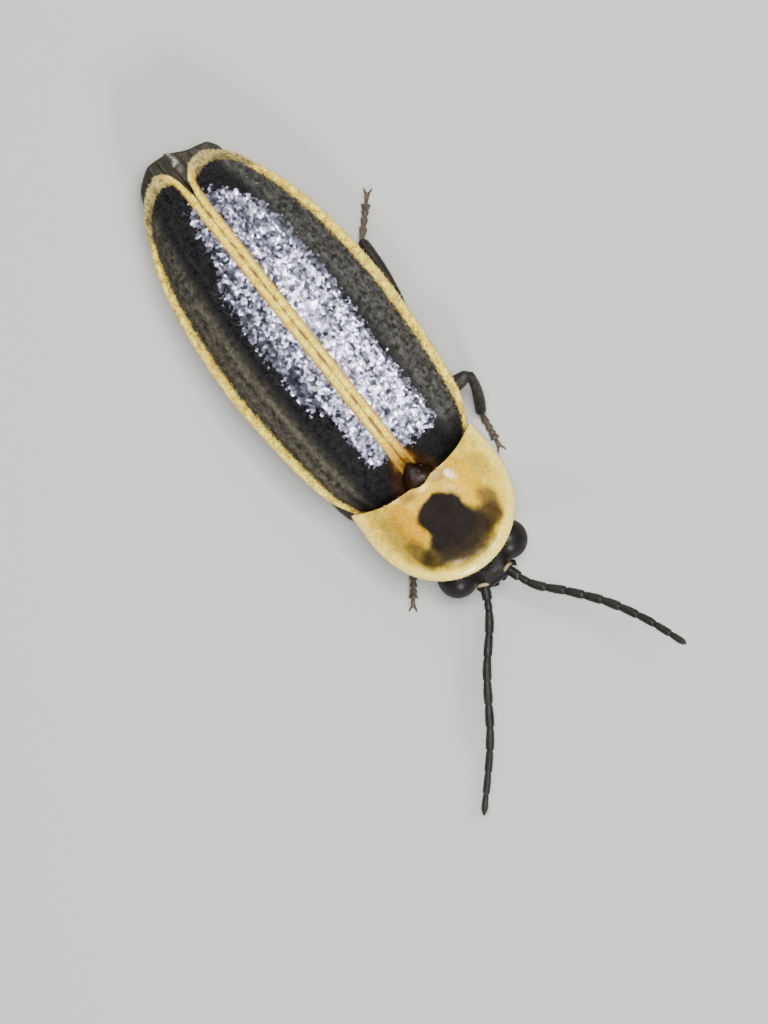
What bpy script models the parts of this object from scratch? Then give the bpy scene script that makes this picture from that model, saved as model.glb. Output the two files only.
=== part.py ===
"""A firefly of the genus Photinus at rest on its six feet, life size.

Metres, +Z up, floor at z = 0, head towards -Y. Shapes are worked out in a body frame whose
origin is on the floor under the scutellum, then moved so that the whole model's footprint
is centred on the world's origin.
"""
import math

import bmesh
import bpy
from mathutils import Vector

MM = 0.001


def mm(*values):
    """Return the values, given in millimetres, as metres."""
    return tuple(value * MM for value in values)


# The body frame's origin in the world, which centres the footprint
BODY_ORIGIN = Vector(mm(0.21, -1.09, 0.0))

# The space that neighbouring parts keep, and half of the seam between the wing cases
GAP = 0.14 * MM
SEAM_HALF = 0.06 * MM

# Wing case
ELYTRON_LENGTH = 9.8 * MM
ELYTRON_START = 0.12 * MM
ELYTRON_HALF_WIDTH = 2.74 * MM
ELYTRON_THICKNESS = 0.5 * MM
ELYTRON_TIP_THICKNESS = 0.3 * MM
COSTA_PLACES = (0.30, 0.50, 0.72)
COSTA_HEIGHT = 0.04 * MM
COSTA_SPREAD = 0.035

# Pronotum
PRONOTUM_HALF_WIDTH = 2.15 * MM
PRONOTUM_CORNER_HALF_WIDTH = 2.09 * MM
PRONOTUM_WIDEST = -0.9 * MM
PRONOTUM_FRONT = -3.38 * MM
PRONOTUM_REAR = -0.46 * MM
PRONOTUM_CORNER = -0.03 * MM
PRONOTUM_THICKNESS = 0.46 * MM
PRONOTUM_RIM = 0.07 * MM

# Scutellum
SCUTELLUM_HALF_WIDTH = 0.4 * MM
SCUTELLUM_FRONT = -0.31 * MM
SCUTELLUM_TIP = 0.2 * MM
SCUTELLUM_TOP = 3.16 * MM
SCUTELLUM_THICKNESS = 0.46 * MM

# Folded hind wing
WING_START = 1.8 * MM
WING_DROP = 0.36 * MM
WING_THICKNESS = 0.42 * MM
WING_TIP_THICKNESS = 0.2 * MM
WING_VEINS = (0.2, 0.42, 0.64, 0.84)
WING_VEIN_HEIGHT = 0.05 * MM
WING_VEIN_SPREAD = 0.05

# Head, eyes and feelers
HEAD_BACK = -1.9 * MM
HEAD_FRONT = -3.9 * MM
EYE_RADIUS = 0.575 * MM
EYE_CENTRE = mm(0.875, -3.215, 1.46)
ANTENNA_SOCKET = mm(0.34, -3.72, 1.82)
ANTENNA_PARTS = 11
SCAPE_LENGTH = 0.55 * MM
PEDICEL_LENGTH = 0.3 * MM
ANTENNA_RADIUS = 0.25 * MM
ANTENNA_TIP_RADIUS = 0.15 * MM
ANTENNA_ROUTES = {
    "left": (mm(0.62, -4.52, 2.0), mm(1.31, -5.35, 2.35), mm(2.0, -6.25, 2.8), mm(2.55, -7.27, 3.3),
             mm(2.98, -8.4, 3.9)),
    "right": (mm(-0.8, -4.53, 1.95), mm(-1.83, -5.74, 2.1), mm(-2.93, -7.27, 2.05),
              mm(-4.42, -8.88, 1.5)),
}

# Thorax and abdomen, by their ends along Y
PROTHORAX = mm(-1.75, -0.4)
MESOTHORAX = mm(-0.2, 1.6)
METATHORAX = mm(1.75, 4.0)
ABDOMEN = mm(4.14, 10.1)
ABDOMEN_SEGMENTS = 7
LANTERN_SEGMENTS = (6, 7)
PYGIDIUM = mm(10.24, 10.75)

# Legs: hip, knee, ankle and toe of each, the feet placed as the photograph shows them
LEG_JOINTS = {
    "front_left": (mm(0.5, -1.15, 0.9), mm(1.64, -0.95, 1.42), mm(1.42, -2.05, 0.42),
                   mm(1.12, -2.85, 0.2)),
    "front_right": (mm(-0.5, -1.15, 0.9), mm(-1.75, -0.88, 1.4), mm(-1.75, -2.28, 0.42),
                    mm(-2.42, -3.1, 0.2)),
    "middle_left": (mm(0.5, 1.1, 0.86), mm(2.9, 1.06, 1.72), mm(2.47, 0.0, 0.42), mm(2.3, -1.06, 0.2)),
    "middle_right": (mm(-0.5, 1.1, 0.86), mm(-2.2, 1.1, 1.42), mm(-2.1, -0.12, 0.42),
                     mm(-1.95, -1.18, 0.2)),
    "hind_left": (mm(0.55, 3.4, 0.86), mm(2.52, 3.4, 1.2), mm(2.83, 5.88, 0.42), mm(3.78, 6.84, 0.2)),
    "hind_right": (mm(-0.55, 3.4, 0.86), mm(-2.32, 3.45, 1.2), mm(-2.36, 5.86, 0.42),
                   mm(-2.5, 7.2, 0.2)),
}
COXA_RADIUS = 0.37 * MM
FEMUR_RADIUS = 0.31 * MM
TIBIA_RADIUS = 0.26 * MM
TARSUS_RADIUS = 0.26 * MM
TARSOMERES = (0.30, 0.19, 0.15, 0.14, 0.22)
CLAW_LENGTH = 0.3 * MM
CLAW_RADIUS = 0.1 * MM

# Colour, roughness and metallic of each finish
FINISHES = {
    "wing_case": ((0.020, 0.019, 0.024), 0.42, 0.0),
    "shield": ((0.72, 0.44, 0.13), 0.45, 0.0),
    "scutellum": ((0.10, 0.035, 0.02), 0.4, 0.0),
    "membrane": ((0.06, 0.05, 0.045), 0.35, 0.0),
    "black_cuticle": ((0.016, 0.014, 0.013), 0.4, 0.0),
    "brown_cuticle": ((0.09, 0.05, 0.03), 0.5, 0.0),
    "eye": ((0.006, 0.006, 0.007), 0.2, 0.0),
    "lantern": ((0.80, 0.76, 0.42), 0.5, 0.0),
    "leg": ((0.045, 0.033, 0.026), 0.5, 0.0),
    "foot": ((0.12, 0.09, 0.065), 0.55, 0.0),
}


def smooth_curve(*stations):
    """Return a function that runs through (place, value) stations without overshoot."""
    places = [place for place, _ in stations]
    values = [value for _, value in stations]
    rises = [(values[i + 1] - values[i]) / (places[i + 1] - places[i]) for i in range(len(places) - 1)]
    slopes = [rises[0]]
    for before, after in zip(rises, rises[1:]):
        slopes.append(2 * before * after / (before + after) if before * after > 0 else 0.0)
    slopes.append(rises[-1])

    def value_at(place):
        place = min(max(place, places[0]), places[-1])
        i = 0
        while i < len(places) - 2 and place > places[i + 1]:
            i += 1
        span = places[i + 1] - places[i]
        t = (place - places[i]) / span
        return ((2 * t**3 - 3 * t**2 + 1) * values[i] + (t**3 - 2 * t**2 + t) * span * slopes[i]
                + (3 * t**2 - 2 * t**3) * values[i + 1] + (t**3 - t**2) * span * slopes[i + 1])

    return value_at


def spread(count, edge=0.04):
    """Return places from 0 to 1 with one close to each end, where an edge is rounded."""
    inner = [edge + (1 - 2 * edge) * i / (count - 1) for i in range(count)]
    return [0.0] + inner + [1.0]


def ridges(place, centres, width):
    """Return 0 to 1: how far a place lies up a ridge that runs along one of the centres."""
    return max(max(0.0, 1 - abs(place - centre) / width) for centre in centres)


def with_ridges(places, centres, width):
    """Return the places with a ridge's foot, crest and foot in place of those close by."""
    kept = [place for place in places if all(abs(place - centre) > 1.4 * width for centre in centres)]
    for centre in centres:
        kept += [centre - width, centre, centre + width]
    return sorted(kept)


# Meshes

def new_object(name, points, faces, finish):
    """Make a closed mesh object in world metres from points of the body frame."""
    mesh = bpy.data.meshes.new(name)
    mesh.from_pydata([Vector(point) + BODY_ORIGIN for point in points], [], faces)
    shape = bmesh.new()
    shape.from_mesh(mesh)
    bmesh.ops.recalc_face_normals(shape, faces=shape.faces)
    if shape.calc_volume(signed=True) < 0:
        bmesh.ops.reverse_faces(shape, faces=shape.faces)
    bmesh.ops.triangulate(shape, faces=shape.faces)
    shape.to_mesh(mesh)
    shape.free()
    colour, roughness, metallic = FINISHES[finish]
    material = bpy.data.materials.new(name + "_" + finish)
    material.use_nodes = True
    shader = material.node_tree.nodes["Principled BSDF"]
    shader.inputs["Base Color"].default_value = (*colour, 1.0)
    shader.inputs["Roughness"].default_value = roughness
    shader.inputs["Metallic"].default_value = metallic
    mesh.materials.append(material)
    obj = bpy.data.objects.new(name, mesh)
    bpy.context.scene.collection.objects.link(obj)
    finish_shading(mesh)
    return obj


def finish_shading(mesh):
    """Shade a mesh smooth, with its sharp edges kept."""
    mesh.shade_smooth()
    mesh.set_sharp_from_angle(angle=math.radians(50))


def plate(name, point_at, thickness_at, columns, rows, finish, edge_share=0.4, square_start=False):
    """Make a curved plate under a surface point_at(u, v), thinned to a rounded edge all round.

    With square_start the edge at u = 0 keeps its full thickness.
    """
    step = 0.01
    upper = []
    lower = []
    for j, v in enumerate(rows):
        for i, u in enumerate(columns):
            point = point_at(u, v)
            along_u = point_at(min(u + step, 1), v) - point_at(max(u - step, 0), v)
            along_v = point_at(u, min(v + step, 1)) - point_at(u, max(v - step, 0))
            normal = along_u.cross(along_v).normalized()
            if normal.z < 0:
                normal = -normal
            thickness = thickness_at(u, v)
            on_edge = i == len(columns) - 1 or j in (0, len(rows) - 1) or (i == 0 and not square_start)
            inset = thickness * (1 - edge_share) / 2 if on_edge else 0.0
            upper.append(point - normal * inset)
            lower.append(point - normal * (thickness - inset))
    wide = len(columns)
    shift = len(upper)
    faces = []
    for j in range(len(rows) - 1):
        for i in range(wide - 1):
            a = j * wide + i
            b, c, d = a + 1, a + 1 + wide, a + wide
            faces += [(a, b, c), (a, c, d)]
            faces += [(a + shift, c + shift, b + shift), (a + shift, d + shift, c + shift)]
    rim = [i for i in range(wide)]
    rim += [j * wide + wide - 1 for j in range(1, len(rows))]
    rim += [(len(rows) - 1) * wide + i for i in range(wide - 2, -1, -1)]
    rim += [j * wide for j in range(len(rows) - 2, 0, -1)]
    for a, b in zip(rim, rim[1:] + rim[:1]):
        faces += [(a, a + shift, b + shift), (a, b + shift, b)]
    return new_object(name, upper + lower, faces, finish)


def loft(name, rings, finish):
    """Make a closed body through rings of points, each end closed by a fan."""
    sides = len(rings[0])
    points = [point for ring in rings for point in ring]
    faces = []
    for j in range(len(rings) - 1):
        for i in range(sides):
            a = j * sides + i
            b = j * sides + (i + 1) % sides
            faces += [(a, b, b + sides), (a, b + sides, a + sides)]
    for start in (0, (len(rings) - 1) * sides):
        centre = sum((points[start + i] for i in range(sides)), Vector()) / sides
        points.append(centre)
        faces += [(start + i, start + (i + 1) % sides, len(points) - 1) for i in range(sides)]
    return new_object(name, points, faces, finish)


def tube(name, path, radii, sides, finish, height=1.0):
    """Make a limb along a path; height is its thickness as a share of its width."""
    rings = []
    for i, centre in enumerate(path):
        along = (path[min(i + 1, len(path) - 1)] - path[max(i - 1, 0)]).normalized()
        across = along.cross(Vector((0, 0, 1))).normalized()
        upward = across.cross(along)
        ring = []
        for k in range(sides):
            angle = 2 * math.pi * (k + 0.5) / sides
            ring.append(centre + (across * math.cos(angle) + upward * math.sin(angle) * height) * radii[i])
        rings.append(ring)
    return loft(name, rings, finish)


def section(y, half_width, top, bottom, level, sides=16, power=2.2):
    """Return a body's cross-section: widest at its level, with a rounded top and bottom."""
    ring = []
    for k in range(sides):
        angle = 2 * math.pi * k / sides
        cosine, sine = math.cos(angle), math.sin(angle)
        x = half_width * math.copysign(abs(cosine) ** (2 / power), cosine)
        reach = top - level if sine > 0 else level - bottom
        ring.append(Vector((x, y, level + reach * math.copysign(abs(sine) ** (2 / power), sine))))
    return ring


def join(target, others):
    """Fuse the other closed bodies into the target, and remove them."""
    group = bpy.data.collections.new(target.name + "_parts")
    bpy.context.scene.collection.children.link(group)
    for other in others:
        group.objects.link(other)
    apply_boolean(target, "UNION", group)
    for other in others:
        bpy.data.objects.remove(other)
    bpy.data.collections.remove(group)


def carve(target, cutters):
    """Cut the cutters out of the target, and remove them."""
    for cutter in cutters:
        group = bpy.data.collections.new(target.name + "_cut")
        bpy.context.scene.collection.children.link(group)
        group.objects.link(cutter)
        apply_boolean(target, "DIFFERENCE", group)
        bpy.data.objects.remove(cutter)
        bpy.data.collections.remove(group)


def apply_boolean(target, operation, group):
    """Apply one Boolean of a group of closed bodies, and keep the largest closed surface."""
    modifier = target.modifiers.new("boolean", "BOOLEAN")
    modifier.operation = operation
    modifier.operand_type = "COLLECTION"
    modifier.collection = group
    modifier.solver = "EXACT"
    modifier.double_threshold = 0.0
    evaluated = target.evaluated_get(bpy.context.evaluated_depsgraph_get())
    mesh = bpy.data.meshes.new_from_object(evaluated)
    target.modifiers.clear()
    target.data = mesh
    while len(mesh.materials) > 1:
        mesh.materials.pop(index=len(mesh.materials) - 1)
    shape = bmesh.new()
    shape.from_mesh(mesh)
    bmesh.ops.triangulate(shape, faces=shape.faces)
    keep_largest(shape)
    shape.to_mesh(mesh)
    shape.free()
    finish_shading(mesh)


def keep_largest(shape):
    """Delete all but the closed surface that spans the most."""
    unseen = set(shape.faces)
    groups = []
    while unseen:
        front = [unseen.pop()]
        found = list(front)
        while front:
            face = front.pop()
            for edge in face.edges:
                for other in edge.link_faces:
                    if other in unseen:
                        unseen.remove(other)
                        found.append(other)
                        front.append(other)
        groups.append(found)
    groups.sort(key=lambda faces: -sum(face.calc_area() for face in faces))
    for faces in groups[1:]:
        bmesh.ops.delete(shape, geom=faces, context="FACES")


def mirrored(point, side):
    """Return a point given for the left side on the side asked for: 1 left, -1 right."""
    return Vector((point[0] * side, point[1], point[2]))


# Wing cases

elytron_margin = smooth_curve((0.0, 1.98 * MM), (0.05, 2.24 * MM), (0.10, 2.41 * MM), (0.25, 2.62 * MM),
                              (0.46, ELYTRON_HALF_WIDTH), (0.56, 2.70 * MM), (0.69, 2.57 * MM),
                              (0.83, 2.29 * MM), (1.0, 1.60 * MM))
elytron_seam = smooth_curve((0.0, SEAM_HALF), (0.92, SEAM_HALF), (1.0, 0.16 * MM))
elytron_base = smooth_curve((0.0, 0.38 * MM), (0.16, 0.08 * MM), (0.28, -0.27 * MM), (0.6, -0.28 * MM),
                            (0.85, -0.12 * MM), (1.0, ELYTRON_START))
elytron_tips = {
    "left": smooth_curve((0.0, 10.08 * MM), (0.2, 10.38 * MM), (0.45, 10.47 * MM), (0.75, 10.25 * MM),
                         (1.0, ELYTRON_START + ELYTRON_LENGTH)),
    "right": smooth_curve((0.0, 10.28 * MM), (0.15, 10.6 * MM), (0.3, 10.68 * MM), (0.5, 10.58 * MM),
                          (0.75, 10.28 * MM), (1.0, ELYTRON_START + ELYTRON_LENGTH)),
}
elytron_crown = smooth_curve((0.0, 3.08 * MM), (0.03, 3.22 * MM), (0.08, 3.36 * MM), (0.3, 3.46 * MM),
                             (0.62, 3.34 * MM), (0.86, 2.9 * MM), (1.0, 2.4 * MM))
elytron_edge = smooth_curve((0.0, 2.42 * MM), (0.12, 2.34 * MM), (0.4, 2.2 * MM), (0.7, 2.05 * MM),
                            (1.0, 1.9 * MM))
elytron_depth = smooth_curve((0.0, ELYTRON_THICKNESS), (0.8, ELYTRON_THICKNESS), (1.0, ELYTRON_TIP_THICKNESS))
elytron_arch = smooth_curve((0.0, 1.0), (0.1, 1.0), (0.5, 0.9), (0.76, 0.58), (0.93, 0.12), (1.0, 0.0))


def elytron_point(side_name, u, v):
    """Upper surface of a wing case, given for the left side: u from seam to margin, v from base to tip."""
    x = elytron_seam(v) + u * (elytron_margin(v) - elytron_seam(v))
    y = elytron_base(u) + v * (elytron_tips[side_name](u) - elytron_base(u))
    z = elytron_edge(v) + (elytron_crown(v) - elytron_edge(v)) * elytron_arch(u)
    fade = min(1.0, 8 * v, 6 * (1 - v))
    z += COSTA_HEIGHT * fade * ridges(u, COSTA_PLACES, COSTA_SPREAD)
    return Vector((x, y, z))


def make_elytra():
    columns = with_ridges(spread(9), COSTA_PLACES, COSTA_SPREAD)
    rows = spread(17, 0.015)
    for side_name, side in (("left", 1), ("right", -1)):
        plate("elytron_" + side_name, lambda u, v: mirrored(elytron_point(side_name, u, v), side),
              lambda u, v: elytron_depth(v), columns, rows, "wing_case", square_start=True)


# Hind wings, folded under the wing cases, their tips behind them

wing_outer = smooth_curve((0.0, 1.15 * MM), (0.2, 1.6 * MM), (0.6, 1.6 * MM), (0.85, 1.43 * MM),
                          (1.0, 1.3 * MM))
wing_inner = smooth_curve((0.0, 0.1 * MM), (0.85, 0.1 * MM), (1.0, 0.16 * MM))
wing_crown = smooth_curve((0.0, 2.78 * MM), (0.5, 2.74 * MM), (0.75, 2.36 * MM), (0.88, 1.96 * MM),
                          (1.0, 1.54 * MM))
wing_ends = {
    "left": smooth_curve((0.0, 11.12 * MM), (0.2, 10.96 * MM), (0.45, 10.82 * MM), (0.85, 10.68 * MM),
                         (1.0, 10.42 * MM)),
    "right": smooth_curve((0.0, 11.08 * MM), (0.35, 11.12 * MM), (0.7, 10.9 * MM), (0.88, 10.66 * MM),
                          (1.0, 10.34 * MM)),
}
wing_depth = smooth_curve((0.0, WING_THICKNESS), (0.72, WING_THICKNESS), (0.88, 0.26 * MM),
                          (1.0, WING_TIP_THICKNESS))


def wing_point(side_name, u, v):
    """Upper surface of a folded hind wing, given for the left side: u outwards, v from root to tip."""
    x = wing_inner(v) + u * (wing_outer(v) - wing_inner(v))
    y = WING_START + v * (wing_ends[side_name](u) - WING_START)
    z = wing_crown(v) - WING_DROP * (x / wing_outer(0.5)) ** 2.2
    fade = min(1.0, 8 * v)
    z += WING_VEIN_HEIGHT * fade * (ridges(u, WING_VEINS, WING_VEIN_SPREAD) - 1)
    return Vector((x, y, z))


def make_hind_wings():
    columns = with_ridges(spread(4), WING_VEINS, WING_VEIN_SPREAD)
    rows = spread(11, 0.02)
    for side_name, side in (("left", 1), ("right", -1)):
        plate("hindwing_" + side_name, lambda u, v: mirrored(wing_point(side_name, u, v), side),
              lambda u, v: wing_depth(v), columns, rows, "membrane")


# Pronotum and scutellum

pronotum_crown = smooth_curve((0.0, 3.24 * MM), (0.3, 3.34 * MM), (0.75, 3.08 * MM), (1.0, 2.76 * MM))
pronotum_edge = smooth_curve((0.0, 2.46 * MM), (0.5, 2.38 * MM), (1.0, 2.44 * MM))


def pronotum_point(u, v):
    """Upper surface of the pronotum: u from right to left, v from rear to front."""
    angle = (u - 0.5) * math.pi
    across = math.sin(angle)
    rear_y = PRONOTUM_REAR + (PRONOTUM_CORNER - PRONOTUM_REAR) * abs(across) ** 3
    front_y = PRONOTUM_WIDEST + (PRONOTUM_FRONT - PRONOTUM_WIDEST) * abs(math.cos(angle)) ** 0.88
    half_width = PRONOTUM_CORNER_HALF_WIDTH + (PRONOTUM_HALF_WIDTH - PRONOTUM_CORNER_HALF_WIDTH) * v**0.5
    y = rear_y + v * (front_y - rear_y)
    arch = 1 - abs(across) ** 2.6
    z = pronotum_edge(v) + (pronotum_crown(v) - pronotum_edge(v)) * arch
    groove = 0.05 * MM * max(0.0, 1 - abs(across) / 0.1) * math.sin(math.pi * v)
    margin = max(abs(across), v)
    rim = PRONOTUM_RIM * max(0.0, (margin - 0.86) / 0.14)
    return Vector((half_width * across, y, z + rim - groove))


def make_pronotum():
    plate("pronotum", pronotum_point, lambda u, v: PRONOTUM_THICKNESS, spread(15, 0.06), spread(9, 0.05),
          "shield")


def make_scutellum():
    """Make the small triangular plate between the wing cases' bases, narrowing to its tip."""
    rings = []
    for t, share, height in ((0.0, 0.9, 0.7), (0.12, 1.0, 1.0), (0.5, 0.7, 0.95), (0.85, 0.4, 0.8),
                             (1.0, 0.22, 0.5)):
        y = SCUTELLUM_FRONT + t * (SCUTELLUM_TIP - SCUTELLUM_FRONT)
        middle = SCUTELLUM_TOP - SCUTELLUM_THICKNESS / 2
        reach = SCUTELLUM_THICKNESS / 2 * height
        rings.append(section(y, SCUTELLUM_HALF_WIDTH * share, middle + reach, middle - reach, middle,
                             sides=10, power=3.0))
    loft("scutellum", rings, "scutellum")


# Thorax and abdomen

body_half_width = smooth_curve((-1.75 * MM, 1.0 * MM), (-1.2 * MM, 1.35 * MM), (0.0, 1.5 * MM),
                               (1.6 * MM, 1.95 * MM), (4.0 * MM, 2.15 * MM), (6.2 * MM, 2.36 * MM),
                               (8.4 * MM, 2.15 * MM), (9.6 * MM, 1.6 * MM), (10.75 * MM, 0.55 * MM))
body_top = smooth_curve((-1.75 * MM, 2.3 * MM), (-0.9 * MM, 2.6 * MM), (-0.2 * MM, 2.46 * MM),
                        (1.6 * MM, 2.46 * MM), (1.76 * MM, 1.98 * MM), (6.0 * MM, 1.94 * MM),
                        (8.5 * MM, 1.56 * MM), (9.8 * MM, 1.26 * MM), (10.75 * MM, 1.08 * MM))
body_bottom = smooth_curve((-1.75 * MM, 1.15 * MM), (0.0, 1.02 * MM), (4.0 * MM, 0.98 * MM),
                           (6.5 * MM, 0.8 * MM), (9.0 * MM, 0.62 * MM), (10.75 * MM, 0.72 * MM))
body_level = smooth_curve((-1.75 * MM, 1.7 * MM), (0.0, 1.65 * MM), (4.0 * MM, 1.45 * MM),
                          (8.0 * MM, 1.2 * MM), (10.75 * MM, 0.95 * MM))


def body_block(name, start, end, finish, stations, flare=0.0):
    """Make one length of the trunk, rounded at both ends; flare widens its hind edge."""
    rings = []
    for t, share in stations:
        y = start + t * (end - start)
        level = body_level(y)
        wide = body_half_width(y) * (share + flare * t)
        rings.append(section(y, wide, level + (body_top(y) - level) * share,
                             level - (level - body_bottom(y)) * share, level))
    return loft(name, rings, finish)


def make_trunk(coxa_cutters):
    """Make the thorax and the abdomen, and cut the hips' hollows into the thorax."""
    rounded = ((0.0, 0.8), (0.08, 0.95), (0.35, 1.0), (0.65, 1.0), (0.92, 0.95), (1.0, 0.8))
    for name, ends, pair in (("prothorax", PROTHORAX, "front"), ("mesothorax", MESOTHORAX, "middle"),
                             ("metathorax", METATHORAX, "hind")):
        block = body_block(name, *ends, "brown_cuticle", rounded)
        carve(block, [cutter for leg, cutter in coxa_cutters.items() if leg.startswith(pair)])
    tiled = ((0.0, 0.88), (0.12, 0.96), (0.8, 1.0), (1.0, 0.95))
    pitch = (ABDOMEN[1] - ABDOMEN[0]) / ABDOMEN_SEGMENTS
    for number in range(1, ABDOMEN_SEGMENTS + 1):
        start = ABDOMEN[0] + pitch * (number - 1)
        finish = "lantern" if number in LANTERN_SEGMENTS else "black_cuticle"
        body_block("abdomen_segment_%d" % number, start, start + pitch - GAP, finish, tiled, flare=0.04)
    body_block("pygidium", *PYGIDIUM, "black_cuticle", ((0.0, 0.9), (0.3, 0.97), (0.7, 0.9), (0.92, 0.7),
                                                        (1.0, 0.45)))


# Head

def ball(name, centre, radius, finish, grow=0.0, sides=14, rows=9):
    """Make a round eye, or with grow the hollow that holds it."""
    rings = []
    for j in range(rows):
        turn = math.pi * (j + 0.5) / rows
        ring = []
        for k in range(sides):
            angle = 2 * math.pi * k / sides
            reach = (radius + grow) * math.sin(turn)
            ring.append(Vector(centre) + Vector(((radius + grow) * math.cos(turn),
                                                 reach * math.cos(angle), reach * math.sin(angle))))
        rings.append(ring)
    return loft(name, rings, finish)


def antenna_path(side_name, side):
    """Return the feeler's length and a function that gives its middle line by distance."""
    points = [mirrored(ANTENNA_SOCKET, side)] + [Vector(point) for point in ANTENNA_ROUTES[side_name]]
    places = [0.0]
    for a, b in zip(points, points[1:]):
        places.append(places[-1] + (b - a).length)
    axes = [smooth_curve(*((place, point[axis]) for place, point in zip(places, points)))
            for axis in range(3)]
    return places[-1], lambda distance: Vector([curve(distance) for curve in axes])


def make_antenna(side_name, side):
    """Make one feeler of eleven parts, each narrow at its root and wider at its end."""
    length, point_at = antenna_path(side_name, side)
    rest = (length - SCAPE_LENGTH - PEDICEL_LENGTH) / (ANTENNA_PARTS - 2)
    lengths = [SCAPE_LENGTH, PEDICEL_LENGTH] + [rest] * (ANTENNA_PARTS - 2)
    path, radii = [], []
    start = 0.0
    for number, part in enumerate(lengths):
        radius = ANTENNA_RADIUS + (ANTENNA_TIP_RADIUS - ANTENNA_RADIUS) * number / (ANTENNA_PARTS - 1)
        for t, share in ((0.04, 0.78), (0.3, 0.95), (0.82, 1.04), (0.98, 0.86)):
            path.append(point_at(start + t * part))
            radii.append(radius * share)
        start += part
    radii[-1] *= 0.6
    return tube("antenna_" + side_name, path, radii, 8, "black_cuticle")


def make_head():
    """Make the head with its mouthparts, and sink the eyes and feelers into it."""
    stations = ((0.0, 0.72, 0.75), (0.2, 0.95, 0.95), (0.5, 1.05, 1.0), (0.75, 0.95, 0.94), (0.9, 0.75, 0.78),
                (1.0, 0.45, 0.5))
    rings = []
    for t, wide, tall in stations:
        y = HEAD_BACK + t * (HEAD_FRONT - HEAD_BACK)
        level = 1.58 * MM
        rings.append(section(y, wide * MM, level + 0.52 * MM * tall, level - 0.6 * MM * tall, level))
    head = loft("head", rings, "black_cuticle")
    mouthparts = []
    for side in (1, -1):
        jaw = [mirrored(mm(0.3 - 0.12 * t, -3.66 - 0.42 * t, 1.36 - 0.1 * t), side)
               for t in (0, 0.4, 0.8, 1.0)]
        mouthparts.append(tube("jaw", jaw, mm(0.2, 0.19, 0.13, 0.06), 8, "black_cuticle"))
        palp = [mirrored(mm(0.5 + 0.12 * t, -3.4 - 0.62 * t, 1.14 - 0.25 * t), side)
                for t in (0, 0.3, 0.55, 0.8, 1.0)]
        mouthparts.append(tube("palp", palp, mm(0.16, 0.15, 0.19, 0.18, 0.08), 8, "black_cuticle"))
    brow = [Vector(mm(0.0, -3.2, 1.78)), Vector(mm(0.0, -3.6, 1.8)), Vector(mm(0.0, -3.98, 1.72))]
    mouthparts.append(tube("brow", brow, mm(0.5, 0.55, 0.32), 12, "black_cuticle", height=0.62))
    join(head, mouthparts)
    cutters = []
    for side_name, side in (("left", 1), ("right", -1)):
        ball("eye_" + side_name, mirrored(EYE_CENTRE, side), EYE_RADIUS, "eye")
        cutters.append(ball("eye_hollow", mirrored(EYE_CENTRE, side), EYE_RADIUS, "eye", GAP))
        make_antenna(side_name, side)
        _, point_at = antenna_path(side_name, side)
        socket = [point_at(0.0), point_at(SCAPE_LENGTH * 0.5), point_at(SCAPE_LENGTH)]
        socket[0] = socket[0] - (socket[1] - socket[0]).normalized() * GAP
        cutters.append(tube("socket", socket, [ANTENNA_RADIUS * 1.05 + GAP] * 3, 8, "black_cuticle"))
    carve(head, cutters)


# Legs

coxa_and_femur = smooth_curve((0.0, 0.8 * COXA_RADIUS), (0.1, COXA_RADIUS), (0.2, 0.9 * COXA_RADIUS),
                              (0.28, 0.75 * FEMUR_RADIUS), (0.55, FEMUR_RADIUS), (0.85, 0.9 * FEMUR_RADIUS),
                              (1.0, 0.62 * FEMUR_RADIUS))
tibia_girth = smooth_curve((0.0, 0.7 * TIBIA_RADIUS), (0.1, 0.95 * TIBIA_RADIUS), (0.85, TIBIA_RADIUS),
                           (1.0, 0.75 * TIBIA_RADIUS))


def upper_leg(name, hip, knee, grow=0.0):
    """Make the coxa, trochanter and femur in one, or with grow the hollow round them."""
    start = hip + Vector((-math.copysign(0.22 * MM, hip.x), 0, 0.06 * MM))
    places = (0.0, 0.1, 0.2, 0.28, 0.4, 0.55, 0.75, 0.9, 1.0)
    path = [start.lerp(knee, t) for t in places]
    radii = [coxa_and_femur(t) + grow for t in places]
    if grow:
        path[0] = path[0] - (path[1] - path[0]).normalized() * grow
    return tube(name, path, radii, 10, "leg")


def make_tibia(name, knee, ankle):
    """Make the shin, which starts clear of the femur's end and bows a little outwards."""
    start = knee.lerp(ankle, (0.62 * FEMUR_RADIUS + GAP * 2.1) / (ankle - knee).length)
    outward = Vector((math.copysign(1.0, knee.x), 0, 0))
    places = (0.0, 0.1, 0.35, 0.6, 0.85, 1.0)
    path = [start.lerp(ankle, t) + outward * 0.08 * MM * math.sin(math.pi * t) for t in places]
    tube(name, path, [tibia_girth(t) for t in places], 8, "leg")


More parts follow.
